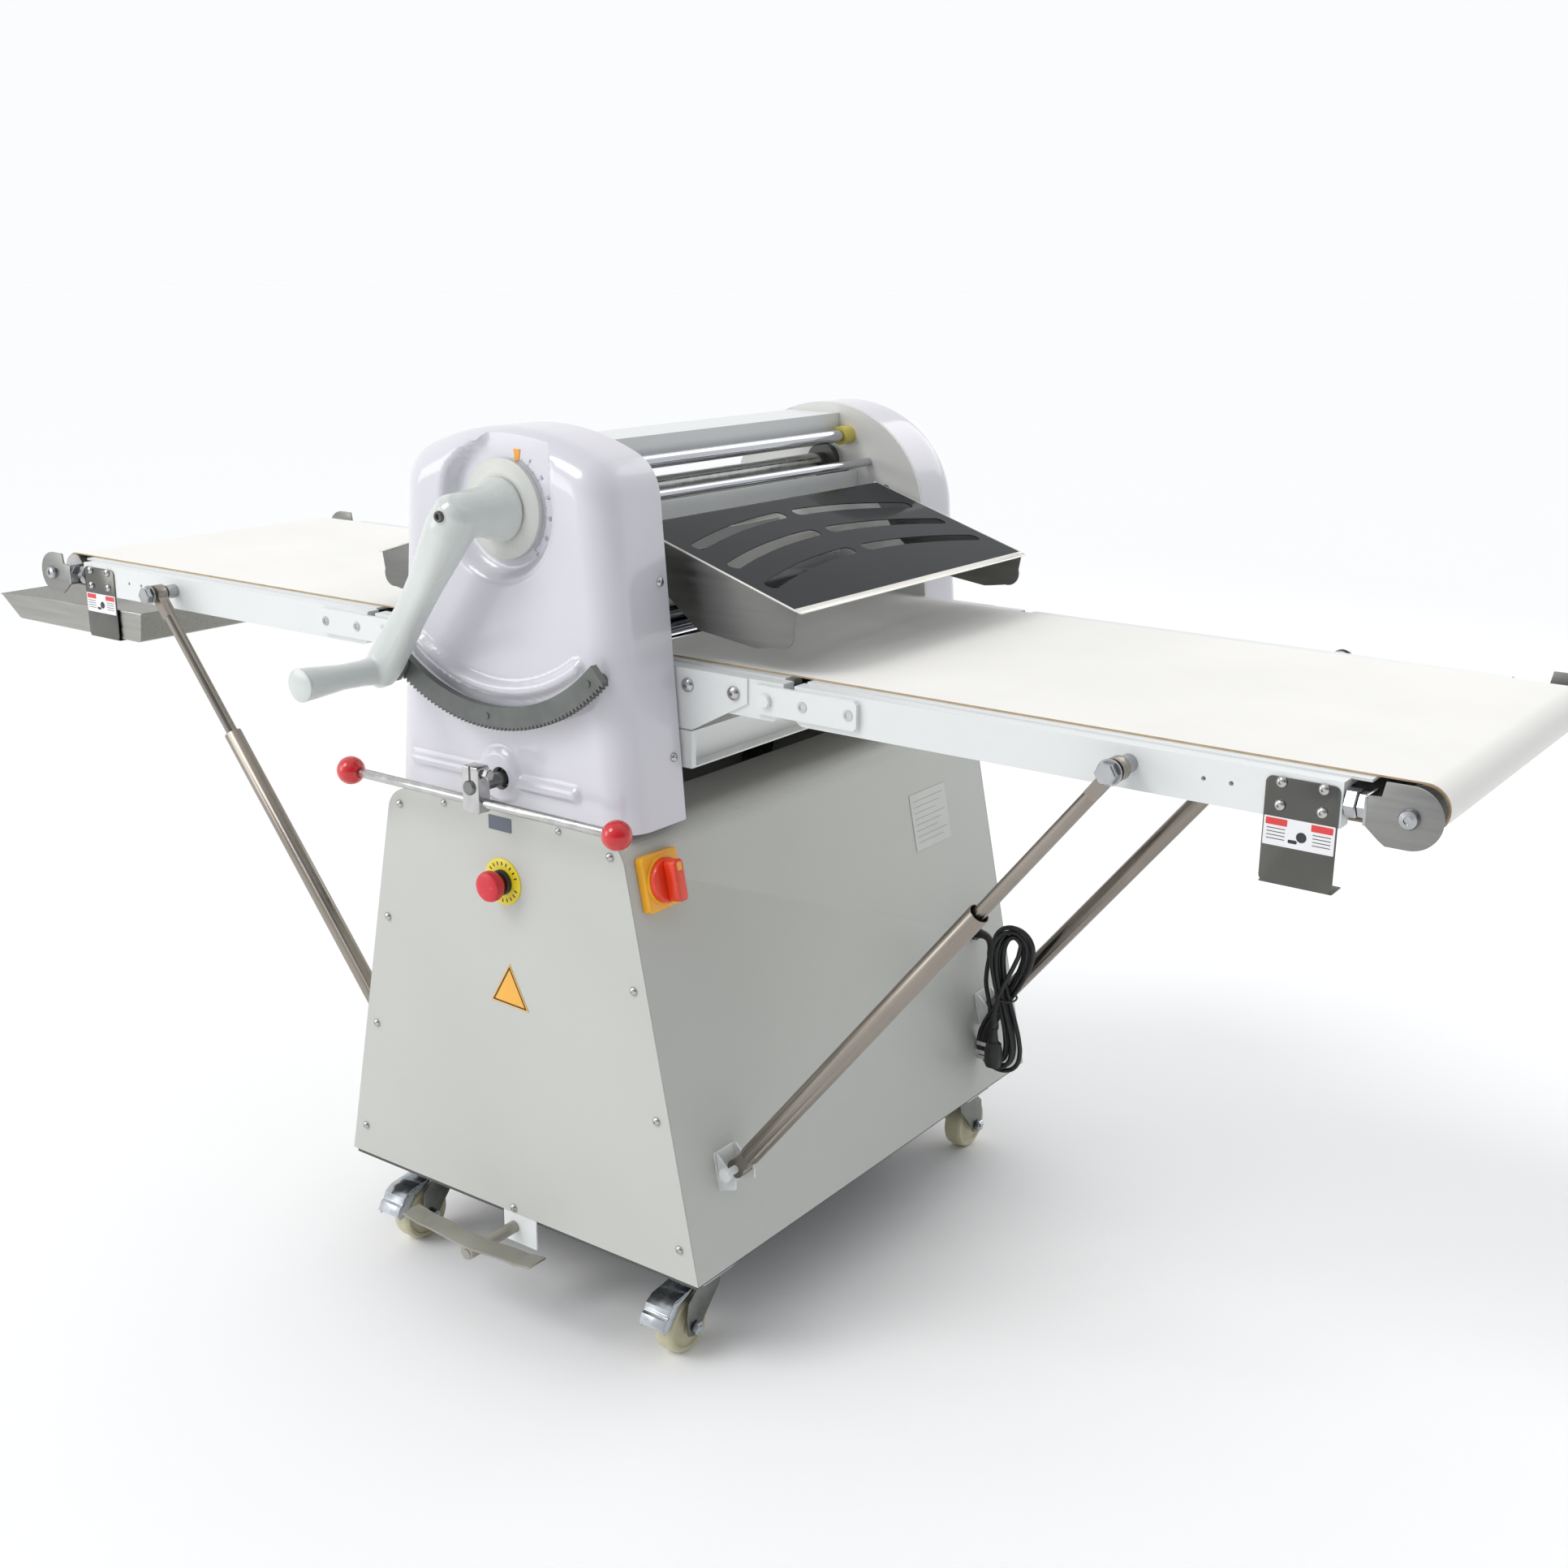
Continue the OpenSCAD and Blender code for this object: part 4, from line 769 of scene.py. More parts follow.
# ---------------------------------------------------------------- guards
def slot_outline(u0, side):
    """One curved viewing slot: (u, y) points round its two edges."""
    half = 0.0093
    rows = [0.02 + (0.23 - 0.02) * i / 18 for i in range(19)]

    def middle(y):
        return u0 + 0.035 * (y / 0.23) ** 2
    outer = [(middle(y) + half, side * y) for y in rows]
    inner = [(middle(y) - half, side * y) for y in reversed(rows)]
    end_u, start_u = middle(rows[-1]), middle(rows[0])
    far = [(end_u + half * math.cos(a), side * (rows[-1] + half * math.sin(a)))
        for a in (math.radians(d) for d in (30, 60, 90, 120, 150))]
    near = [(start_u - half * math.cos(a), side * (rows[0] - half * math.sin(a)))
        for a in (math.radians(d) for d in (30, 60, 90, 120, 150))]
    return outer + far + inner + near


def sheet_with_holes(name, outline, holes, thickness):
    curve = bpy.data.curves.new(name, "CURVE")
    curve.dimensions = "2D"
    curve.fill_mode = "BOTH"
    curve.extrude = thickness / 2
    for loop in [outline, *holes]:
        spline = curve.splines.new("POLY")
        spline.points.add(len(loop) - 1)
        for target, (u, v) in zip(spline.points, loop):
            target.co = (u, v, 0, 1)
        spline.use_cyclic_u = True
    holder = bpy.data.objects.new(name, curve)
    bpy.context.scene.collection.objects.link(holder)
    mesh = bpy.data.meshes.new_from_object(holder.evaluated_get(bpy.context.evaluated_depsgraph_get()))
    bpy.data.objects.remove(holder)
    return link(name, mesh, 30)


def make_guard(m, side, label):
    direction = Vector((0.953, 0, -0.304)).normalized()
    across = Vector((0, 1, 0))
    normal = direction.cross(across)
    frame_matrix = Matrix((direction, across, normal)).transposed().to_4x4()
    place = Matrix.Translation((0.153, 0, 1.007)) @ frame_matrix
    flip = Matrix.Identity(4) if side > 0 else Matrix.Scale(-1, 4, (1, 0, 0))
    holes = [slot_outline(u0, s) for u0 in (-0.013, 0.043, 0.1) for s in (1, -1)]
    top = sheet_with_holes("guard_top",
        [(-0.052, -0.262), (0.197, -0.262), (0.197, 0.262), (-0.052, 0.262)], holes, 0.0012)
    top.data.transform(flip @ place)
    if side < 0:
        top.data.flip_normals()
    finish_join(f"guard_{label}_sheet", [top], 30, f"guard_{label}", "guard_steel", m["guard"],
        [f"guard_{label}"])
    tip = arc_points(0.3205, 0.9185, 0.017, 20, -100, 8)
    outline = [(0.1, 1.0225), (0.3405, 0.9465)] + tip + [(0.3, 0.899), (0.285, 0.897), (0.198, 0.908),
        (0.14, 0.952), (0.106, 0.998)]
    parts = [plate("cheek", outline, 0.002, facing_front(y), 0.0004) for y in (-0.26, 0.262)]
    for part in parts:
        part.data.transform(flip)
    finish_join(f"guard_{label}_cheeks", parts, 30, f"guard_{label}", "guard_steel", m["cheek"])
    lip = plate("lip", rounded_rect(-0.2625, 0.2625, -0.0065, 0.0052, 0.002, 3), 0.0016,
        flip @ Matrix.Translation((0.3408, 0, 0.9462)) @ facing_along((0, 0, 0), (0.3, 0, 0.95)), 0.0005)
    edge_parts = [lip]
    for y in (-0.2622, 0.2622):
        edge_parts.append(tube("edge", [(0.1 * side, y, 1.0232), (0.3405 * side, y, 0.9472)], 0.0013, 8))
    finish_join(f"guard_{label}_edges", edge_parts, 30, f"guard_{label}", "guard_steel", m["lip"])
    pins = [lathe("pin", [(0, 0), (0.007, 0), (0.007, 0.002), (0.0052, 0.0042), (0, 0.0045)],
        facing_along((0.118 * side, s * 0.2625, 1.014), (0, s, 0)), 24) for s in (-1, 1)]
    finish_join(f"guard_{label}_pivots", pins, 35, f"guard_{label}", "bright_steel", m["bright"])


# ---------------------------------------------------------------- belts
def make_belt(m, side, label):
    """One endless belt round its drive roller and end roller."""
    half, thick, roller_r = 0.25, 0.002, 0.025
    x0, x1 = 0.096, END_X
    stops = [x0 + (0.27 - x0) * i / 6 for i in range(6)] + [0.27 + 0.11 * i / 22 for i in range(22)]
    stops += [0.38 + (x1 - 0.38) * i / 16 for i in range(17)]
    outer = [(x, BELT_TOP) for x in stops] + arc_points(x1, AXIS_Z, roller_r, 90, -90, 24)[1:-1]
    outer += [(x, AXIS_Z - roller_r) for x in reversed(stops)] + arc_points(x0, AXIS_Z, roller_r, -90, -270,
        24)[1:-1]
    count = len(outer)
    bm = bmesh.new()
    rows = []
    ys = [-half, -half + 0.0006] + [-half + 0.05 * i for i in range(1, 10)] + [half - 0.0006, half]
    for layer in (0, thick):
        for y in ys:
            ring = []
            for x, z in outer:
                cx = min(max(x, x0), x1)
                d = Vector((x - cx, z - AXIS_Z))
                d = d * ((roller_r - layer) / max(d.length, 1e-9)) if d.length else d
                ring.append(bm.verts.new((side * (cx + d.x), y, AXIS_Z + d.y)))
            rows.append(ring)
    n = len(ys)
    for layer in (0, 1):
        for j in range(n - 1):
            a, b = rows[layer * n + j], rows[layer * n + j + 1]
            for k in range(count):
                bm.faces.new((a[k], a[(k + 1) % count], b[(k + 1) % count], b[k]))
    for j in (0, n - 1):
        a, b = rows[j], rows[n + j]
        for k in range(count):
            bm.faces.new((a[k], a[(k + 1) % count], b[(k + 1) % count], b[k])).material_index = 1
    bmesh.ops.recalc_face_normals(bm, faces=bm.faces)
    mesh = bpy.data.meshes.new(f"belt_{label}")
    bm.to_mesh(mesh)
    bm.free()
    belt = link(f"belt_{label}", mesh, 40)
    belt.data.materials.append(m["belt"])
    belt.data.materials.append(m["belt_edge"])
    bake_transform(belt)
    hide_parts("bed_belts", f"table_{label}_belt")


# ---------------------------------------------------------------- controls
def make_direction_lever(m):
    bar_y, bar_z, reach = -0.44, 0.703, 0.221
    bar = lathe("bar", [(0, -0.213), (0.0058, -0.213), (0.006, -0.2125), (0.006, 0.2125), (0.0058, 0.213),
        (0, 0.213)], facing_along((0, bar_y, bar_z), (1, 0, 0)), 28)
    clamp_outline = rounded_rect(-0.0135, 0.0135, 0.69, 0.748, 0.004)
    clamp = plate("clamp", clamp_outline, 0.02, facing_front(bar_y + 0.01), 0.0012, 3)
    # Painted shade: a thin dark strip on the clamp's face stands in for the shadow inside the clamp's
    # split; there is no cut in the clamp.
    slit_shade = plate("slit_shade", [(-0.0012, 0.728), (0.0012, 0.728), (0.0012, 0.7486), (-0.0012, 0.7486)], 0.0004,
        facing_front(bar_y - 0.0101), 0)
    shaft = lathe("shaft", [(0, 0), (0.0088, 0), (0.009, 0.0005), (0.009, 0.113), (0.0078, 0.1145),
        (0, 0.1145)], front_axis(0, -0.3395, PIVOT_Z), 32)
    bolt = lathe("bolt", rod_profile(0.004, 0, 0.006), facing_along((0.0135, bar_y, 0.739), (1, 0, 0)), 20)
    head = lathe("head", [(0, 0.004), (0.0068, 0.004), (0.0073, 0.0046), (0.0073, 0.01), (0.0062, 0.011),
        (0, 0.0112)], facing_along((0.0135, bar_y, 0.739), (1, 0, 0)), 6)
    metal = join("direction_bar", [bar, clamp, bolt, head], 30)
    finish_piece(shaft, "direction_lever", "dark_steel", m["fork"])
    finish_piece(metal, "direction_lever", "chrome", m["bright"], ["direction_lever"])
    finish_piece(slit_shade, "direction_lever", "black_plastic", m["dark"])
    balls = []
    for s in (-1, 1):
        profile = [(0, -0.0172), (0.0074, -0.0172), (0.008, -0.0168)]
        profile += [(0.018 * math.sin(math.radians(d)), -0.018 * math.cos(math.radians(d)))
            for d in range(28, 180, 8)]
        balls.append(lathe("ball", profile + [(0, 0.018)],
            facing_along((s * reach, bar_y, bar_z), (s, 0, 0)), 40))
    finish_join("direction_balls", balls, 35, "direction_lever", "red_plastic", m["red"],
        ["direction_knobs"])


def make_stop_button(m):
    place = front_axis(0.002, -0.402, 0.591)
    disc = lathe("stop_legend", [(0.012, 0), (0.03, 0), (0.03, 0.0012), (0.0292, 0.0018), (0.012, 0.0018)],
        place, 64)
    collar = lathe("stop_collar", [(0.0112, 0.0018), (0.016, 0.0018), (0.016, 0.006), (0.015, 0.008),
        (0.0112, 0.008)], place, 48)
    back = plate("isolator_base", rounded_rect(-0.032, 0.032, -0.034, 0.034, 0.006), 0.0125,
        isolator_place(), 0.0018, 3)
    ring = lathe("isolator_ring", [(0.0245, 0.012), (0.03, 0.012), (0.03, 0.014), (0.029, 0.015),
        (0.0245, 0.015)], isolator_place(), 56)
    finish_join("switch_plates_shown", [back, ring], 30, "cabinet", "yellow_plastic", m["yellow"],
        ["switch_plates"])
    finish_piece(disc, "cabinet", "yellow_plastic", m["legend"])
    finish_piece(collar, "cabinet", "black_plastic", m["black"])
    dashes = []
    for start, stop in ((20, 160), (200, 340)):
        for k in range(9):
            angle = math.radians(start + (stop - start) * k / 8)
            dashes.append(plate("dash", rounded_rect(0.0215, 0.0262, -0.0009, 0.0009, 0.0003, 2), 0.0002,
                place @ Matrix.Translation((0, 0, 0.0018)) @ Matrix.Rotation(angle, 4, "Z"), 0))
    finish_join("stop_legend_marks", dashes, 0, "cabinet", "black_plastic", m["ink"])
    stem = [(0, -0.0015), (0.0105, -0.0015), (0.0105, 0.012), (0.0125, 0.0135), (0.018, 0.0165),
        (0.0193, 0.0195), (0.0193, 0.0255), (0.018, 0.029), (0.015, 0.0306), (0.008, 0.0312), (0, 0.0313)]
    button = lathe("stop_mushroom", stem, place, 56)
    finish_piece(button, "estop_button", "red_plastic", m["stop_red"], ["estop_button"])
    marks = []
    for k in range(3):
        spin = Matrix.Rotation(math.radians(120 * k), 4, "Z")
        marks.append(plate("turn_mark",
            [(0.009, 0.0035), (0.0135, 0.0035), (0.0135, 0.006), (0.0165, 0.0025), (0.0135, -0.001),
            (0.0135, 0.0012), (0.009, 0.0012)], 0.0002,
            place @ Matrix.Translation((0, 0, 0.031)) @ spin @ Matrix.Scale(0.8, 4), 0))
    finish_join("stop_turn_marks", marks, 0, "estop_button", "red_plastic", m["label_red"])


def isolator_place():
    return on_right_cover(-0.352, 0.622, 0.0002)


def make_isolator(m):
    place = isolator_place()
    disc = lathe("disc", [(0, 0.0124), (0.027, 0.0124), (0.027, 0.02), (0.0262, 0.0216), (0.024, 0.0222),
        (0, 0.0222)], place, 56)
    grip = plate("grip", rounded_rect(-0.0085, 0.0085, -0.0255, 0.0255, 0.006), 0.018,
        place @ Matrix.Translation((0, 0, 0.022)), 0.0022, 3)
    window = plate("window", rounded_rect(-0.004, 0.004, 0.012, 0.022, 0.002), 0.0004,
        place @ Matrix.Translation((0, 0, 0.0398)), 0)
    finish_join("isolator_handle", [disc, grip], 30, "isolator_knob", "red_plastic", m["knob_red"],
        ["isolator_knob"])
    finish_piece(window, "isolator_knob", "yellow_plastic", m["yellow"])


def make_pedal(m):
    def wave(x):
        base = 0.126 + 0.005 * math.sin(math.radians(x * 1000 * 1.2)) ** 2
        return base + max(0.0, abs(x) - 0.084) * 0.25
    xs = [-0.112 + 0.224 * i / 56 for i in range(57)]
    outline = [(x, wave(x)) for x in xs] + [(x, wave(x) + 0.003) for x in reversed(xs)]
    strip = plate("strip", outline, 0.03, facing_front(-0.462), 0.0006)
    shaft = lathe("shaft", [(0, 0), (0.008, 0), (0.008, 0.146), (0.007, 0.148), (0, 0.148)],
        front_axis(0, -0.342, 0.116), 32)
    weld = plate("weld", rounded_rect(-0.01, 0.01, 0.112, 0.1262, 0.002), 0.026, facing_front(-0.463),
        0.001)
    finish_join("pedal_strip", [strip, shaft, weld], 30, "foot_pedal", "brushed_steel", m["pedal"],
        ["foot_pedal"])


# ---------------------------------------------------------------- signs
def make_signs(m):
    front = facing_front(-0.4021)
    corners = [(0.008, 0.484), (0.0385, 0.426), (-0.0255, 0.4285)]

    def triangle(scale):
        cx, cz = sum(c[0] for c in corners) / 3, sum(c[1] for c in corners) / 3
        return [(cx + (x - cx) * scale, cz + (z - cz) * scale) for x, z in reversed(corners)]

    board = plate("voltage_sign", triangle(1.0), 0.0006, front, 0.0002)
    finish_piece(board, "cabinet", "yellow_plastic", m["sign_orange"])
    border = sheet_with_holes("voltage_border", triangle(0.9), [list(reversed(triangle(0.8)))], 0.0002)
    border.data.transform(facing_front(-0.4029))
    marks = finish_join("voltage_marks", [border], 0, "cabinet", "black_plastic", m["ink"])
    small = plate("small_plate", rounded_rect(-0.019, 0.019, 0.656, 0.674, 0.001), 0.0006, front, 0.0002)
    finish_piece(small, "cabinet", "black_plastic", m["blue_plate"])
    data = on_right_cover(0.247, 0.555, 0.0004)
    rating = plate("data_plate", rounded_rect(-0.047, 0.047, -0.041, 0.041, 0.002), 0.0005, data, 0.0002)
    finish_piece(rating, "cabinet", "white_paint", m["pale_label"])
    lines = [plate("rule", rounded_rect(-0.04, 0.04 - 0.012 * (k % 3), -0.0004, 0.0004, 0.0002, 2), 0.0001,
        data @ Matrix.Translation((0, 0.03 - 0.0085 * k, 0.0005)), 0) for k in range(8)]
    finish_join("data_plate_rules", lines, 0, "cabinet", "black_plastic", m["grey_ink"])
    for side, label in ((1, "right"), (-1, "left")):
        for s in (-1, 1):
            tag = "front" if s < 0 else "rear"
            place = facing_along((SIGN_X * side, 0.2841 * s, 0.8065), (0, s, 0))
            body = plate("body", rounded_rect(-0.0355, 0.0355, -0.0145, 0.0145, 0.001), 0.0005, place,
                0.0001)
            finish_join(f"rail_label_{label}_{tag}", [body], 0, f"table_{label}", "white_paint", m["label"])
            over = place @ Matrix.Translation((0, 0, 0.0005))
            heads = [plate("band", rounded_rect(a, b, 0.0062, 0.013, 0.0005, 2), 0.0002, over, 0)
                for a, b in ((-0.0335, -0.012), (0.012, 0.0335))]
            finish_join(f"rail_label_bands_{label}_{tag}", heads, 0, f"table_{label}", "red_plastic",
                m["label_red"])
            marks = [plate("line", rounded_rect(a, b, z0, z0 + 0.0007, 0.0003, 2), 0.0002, over, 0)
                for a, b in ((-0.032, -0.0135), (0.014, 0.032)) for z0 in (0.0025, -0.001, -0.0045, -0.008)]
            marks.append(plate("disc", arc_points(0.003, -0.002, 0.0052, 0, 345, 23), 0.0002, over, 0))
            marks.append(plate("bar", rounded_rect(-0.01, -0.001, -0.0095, -0.006, 0.001, 2), 0.0002, over,
                0))
            finish_join(f"rail_label_marks_{label}_{tag}", marks, 0, f"table_{label}", "black_plastic",
                m["ink"])


# ---------------------------------------------------------------- fasteners and castors
def screw(name, r, place, slots="cross"):
    """A dome-headed screw with a cross or socket drive."""
    dome = [(0, -0.0004), (r, -0.0004), (r, 0.0006)]
    dome += [(r * math.cos(math.radians(d)), 0.0006 + 0.62 * r * math.sin(math.radians(d)))
        for d in (18, 36, 54, 70)]
    if slots == "socket":
        top = 0.0006 + 0.62 * r * math.sin(math.radians(70))
        return lathe(name, dome + [(r * 0.34, top), (r * 0.3, top - r * 0.35), (0, top - r * 0.36)], place,
            24)
    return lathe(name, dome + [(r * 0.16, 0.0006 + 0.62 * r), (r * 0.12, 0.0006 + 0.36 * r),
        (0, 0.0006 + 0.34 * r)], place, 24)


def make_screws(m):
    parts = []
    for s in (-1, 1):
        def put(x, z, r=0.0055):
            parts.append(screw("screw", r, facing_along((x, s * 0.402, z), (0, s, 0))))
        for side in (-1, 1):
            for z in (0.178, 0.339, 0.498, 0.658):
                put(side * (side_x(z) - 0.02), z)
            put(side * 0.096, 0.674, 0.0045)
        put(0, 0.143)
    for side in (-1, 1):
        for z, front_x, rear_x in ((0.76, 0.1928, 0.1848), (0.968, 0.1739, 0.1659)):
            for y, x in ((-0.303, front_x), (0.303, rear_x)):
                parts.append(screw("screw", 0.0058, facing_along((side * x, y, z), (side, 0, 0.09))))
    finish_join("cover_screws_shown", parts, 30, "cabinet", "bright_steel", m["bright"], ["cover_screws"])
    bolts = []
    pins = []
    for s in (-1, 1):
        for side in (-1, 1):
            for x in (0.2008, 0.2687):
                bolts.append(screw("bolt", 0.0088, facing_along((side * x, s * 0.285, 0.846), (0, s, 0)),
                    "socket"))
            pins.append(lathe("pin", [(0, 0), (0.0065, 0), (0.0078, 0.0006), (0.0078, 0.0042),
                (0.0068, 0.0058), (0, 0.006)], facing_along((side * 0.318, s * 0.289, AXIS_Z), (0, s, 0)),
                28))
    finish_join("gusset_bolts", bolts, 30, "cabinet", "bright_steel", m["bright"])
    finish_join("hinge_pins", pins, 30, "cabinet", "white_paint", m["white"], ["bed_bolts"])


def make_table_fittings(m, side, label):
    """Sign plates, belt adjusters, end plates, strut bolts and strap screws of one table."""
    signs, steel, screws, ends = [], [], [], []

    def turned(name, profile, place, steps):
        steel.append(lathe(name, profile, place, steps))

    for s in (-1, 1):
        def out(x, z, y):
            return facing_along((side * x, s * y, z), (0, s, 0))
        sign = rounded_rect(-0.037, 0.037, -0.054, 0.054, 0.007, 4)
        signs.append(plate("sign", sign, 0.0015, out(SIGN_X, 0.807, RAIL_FACE), 0.0005))
        signs.append(plate("fold", rounded_rect(-0.037, 0.037, -0.013, 0.013, 0.001, 2), 0.0015,
            Matrix.Translation((side * SIGN_X, s * 0.27, 0.7525)), 0.0004))
        for dx in (-0.021, 0.021):
            for z in (0.833, 0.856):
                screws.append(screw("screw", 0.0058, out(SIGN_X + dx, z, 0.2841), "socket"))
        for x in (0.3687, 0.4309):
            screws.append(lathe("countersunk",
                [(0.0028, -0.0016), (0.0034, 0.0002), (0.0062, 0.0004), (0.0064, -0.0006)],
                out(x, AXIS_Z, 0.2894), 24))
        outline = arc_points(END_X, AXIS_Z, 0.031, -90, 90, 20) + [(1.032, 0.876), (1.029, 0.861),
            (1.016, 0.86), (1.016, 0.83), (1.03, 0.818), (1.036, 0.814)]
        if side * s > 0:
            outline = [(END_X - x, z - AXIS_Z) for x, z in reversed(outline)]
        else:
            outline = [(x - END_X, z - AXIS_Z) for x, z in outline]
        ends.append(plate("end_plate", outline, 0.003, out(END_X, AXIS_Z, 0.2892), 0.0006))
        turned("axle", [(0, 0), (0.0092, 0), (0.01, 0.001), (0.01, 0.004), (0.0085, 0.0068), (0.004, 0.008),
            (0.0036, 0.0062), (0, 0.006)], out(END_X, AXIS_Z, 0.292), 32)
        along = facing_along((side * 0.99, s * 0.2725, AXIS_Z), (side, 0, 0))
        turned("stud", rod_profile(0.0078, -0.03, 0.038), along, 28)
        turned("nut", [(0.0078, 0.001), (0.0135, 0.001), (0.015, 0.0022), (0.015, 0.0118), (0.0135, 0.013),
            (0.0078, 0.013)], along, 6)
        turned("nut", [(0.0078, 0.0134), (0.0118, 0.0134), (0.013, 0.0144), (0.013, 0.022),
            (0.0118, 0.0238), (0.0078, 0.0238)], along, 6)
        steel.append(plate("bracket", rounded_rect(-0.016, 0.016, -0.015, 0.015, 0.002, 3), 0.003,
            facing_along((side * 1.0135, s * 0.2765, AXIS_Z), (side, 0, 0)), 0.0005))
        turned("strut_bolt", rod_profile(0.005, 0.0, 0.048), out(STRUT_X, 0.847, 0.28), 24)
        turned("strut_head", [(0, 0.0435), (0.011, 0.0435), (0.0122, 0.0446), (0.0122, 0.0515),
            (0.011, 0.0528), (0, 0.0532)], out(STRUT_X, 0.847, 0.2845), 6)
        turned("standoff", [(0.0052, 0.0), (0.01, 0.0), (0.01, 0.0165), (0.0052, 0.0165)],
            out(STRUT_X, 0.847, RAIL_FACE), 28)
        turned("washer", [(0.0052, 0.041), (0.0138, 0.041), (0.0142, 0.0416), (0.0138, 0.0434),
            (0.0052, 0.0434)], out(STRUT_X, 0.847, 0.2845), 32)
    finish_join(f"adjusters_{label}", steel, 30, f"table_{label}", "bright_steel", m["hex"],
        [f"table_{label}_fittings"])
    finish_join(f"sign_plates_{label}", signs, 30, f"table_{label}", "dark_steel", m["plate_dark"])
    finish_join(f"sign_screws_{label}", screws, 30, f"table_{label}", "bright_steel", m["bright"])
    finish_join(f"belt_end_plates_{label}", ends, 30, f"table_{label}", "dark_steel", m["end_plate"])


def make_castor(m, label, sx, sy, braked):
    x, y, pivot = 0.235 * sx, 0.349 * sy, 0.321 * sy
    tread = [(0.0052, -0.0135), (0.013, -0.0135), (0.015, -0.0118), (0.029, -0.0108), (0.0305, -0.0138),
        (0.0345, -0.014), (0.0368, -0.0122), (0.0378, -0.008), (0.038, 0), (0.0378, 0.008),
        (0.0368, 0.0122), (0.0345, 0.014), (0.0305, 0.0138), (0.029, 0.0108), (0.015, 0.0118),
        (0.013, 0.0135), (0.0052, 0.0135), (0.0052, -0.0135)]
    wheel = lathe(f"castor_{label}_tyre", tread, facing_along((x, y, WHEEL_Z), (1, 0, 0)), 56)
    finish_piece(wheel, f"castor_wheel_{label}", "cream_nylon", m["nylon"], [f"castor_wheel_{label}"])
    s = 1 if sy < 0 else -1
    cheek = [(-0.013, 0.03), (-0.004, 0.0262), (0.01, 0.029), (0.0135, 0.038), (0.05, 0.078),
        (0.052, 0.089), (0.004, 0.0905), (-0.012, 0.076), (-0.015, 0.055)]
    parts = []
    for inner_x in (x - 0.023, x + 0.0205):
        outline = [(s * a, z) for a, z in cheek]
        if s < 0:
            outline.reverse()
        place = facing_right(inner_x, y)
        parts.append(plate("cheek", outline, 0.0025, place, 0.0006))
    top_place = Matrix.Translation((x, pivot, 0.0905))
    parts.append(plate("crown", rounded_rect(-0.023, 0.023, -0.022, 0.022, 0.004), 0.003, top_place,
        0.0008))
    parts.append(lathe("race", [(0, 0.003), (0.0215, 0.003), (0.024, 0.005), (0.024, 0.0085),
        (0.0215, 0.0105), (0, 0.0108)], top_place, 48))
    finish_join(f"castor_{label}_fork", parts, 30, f"castor_fork_{label}", "zinc", m["fork"],
        [f"castor_fork_{label}"])
    bright = [lathe("axle", rod_profile(0.005, -0.0275, 0.0275), facing_along((x, y, WHEEL_Z), (1, 0, 0)),
        20)]
    for k in (-1, 1):
        bright.append(lathe("nut", [(0, 0.0238), (0.008, 0.0238), (0.009, 0.0248), (0.009, 0.029),
            (0.0078, 0.0305), (0.005, 0.0307), (0.0046, 0.032), (0, 0.0322)],
            facing_along((x, y, WHEEL_Z), (k, 0, 0)), 6))
    finish_join(f"castor_{label}_axle", bright, 30, f"castor_fork_{label}", "zinc", m["zinc"])
    plate_top = plate(f"castor_{label}_plate", rounded_rect(-0.04, 0.04, -0.034, 0.034, 0.006), 0.004,
        Matrix.Translation((x, pivot, 0.1028)), 0.0008)
    finish_piece(plate_top, "cabinet", "zinc", m["zinc"])
    if not braked:
        return
    front = y - 0.038
    outline = [(front - 0.0225, 0.0585), (front - 0.0205, 0.058), (front - 0.014, 0.068),
        (front - 0.0095, 0.07), (front - 0.006, 0.079), (front - 0.001, 0.0815), (front + 0.006, 0.0865),
        (y + 0.0045, 0.0905), (y + 0.004, 0.0925), (front + 0.004, 0.0885), (front - 0.0035, 0.084),
        (front - 0.008, 0.0815), (front - 0.0115, 0.0725), (front - 0.016, 0.0705)]
    place = facing_right(x - 0.019)
    lever = [plate("lever", outline, 0.038, place, 0.0005)]
    for k in (-1, 1):
        lever.append(plate("wing", [(front - 0.018, 0.052), (front - 0.004, 0.056), (front + 0.012, 0.079),
            (y + 0.002, 0.085), (y + 0.0045, 0.0915), (front - 0.002, 0.0838), (front - 0.021, 0.059)],
            0.0016, facing_right(x + k * 0.0182 - 0.0008), 0.0004))
    for z in (0.0745, 0.0795):
        lever.append(tube("rib", [(x - 0.0165, front - 0.0095 + (z - 0.0745) * 0.8, z),
            (x + 0.0165, front - 0.0095 + (z - 0.0745) * 0.8, z)], 0.0014, 10))
    lever.append(lathe("pin", rod_profile(0.0025, -0.019, 0.019),
        facing_along((x, y + 0.002, 0.091), (1, 0, 0)), 16))
    finish_join(f"castor_{label}_brake", lever, 30, f"castor_brake_{label}", "zinc", m["zinc"],
        [f"castor_brake_{label}"])


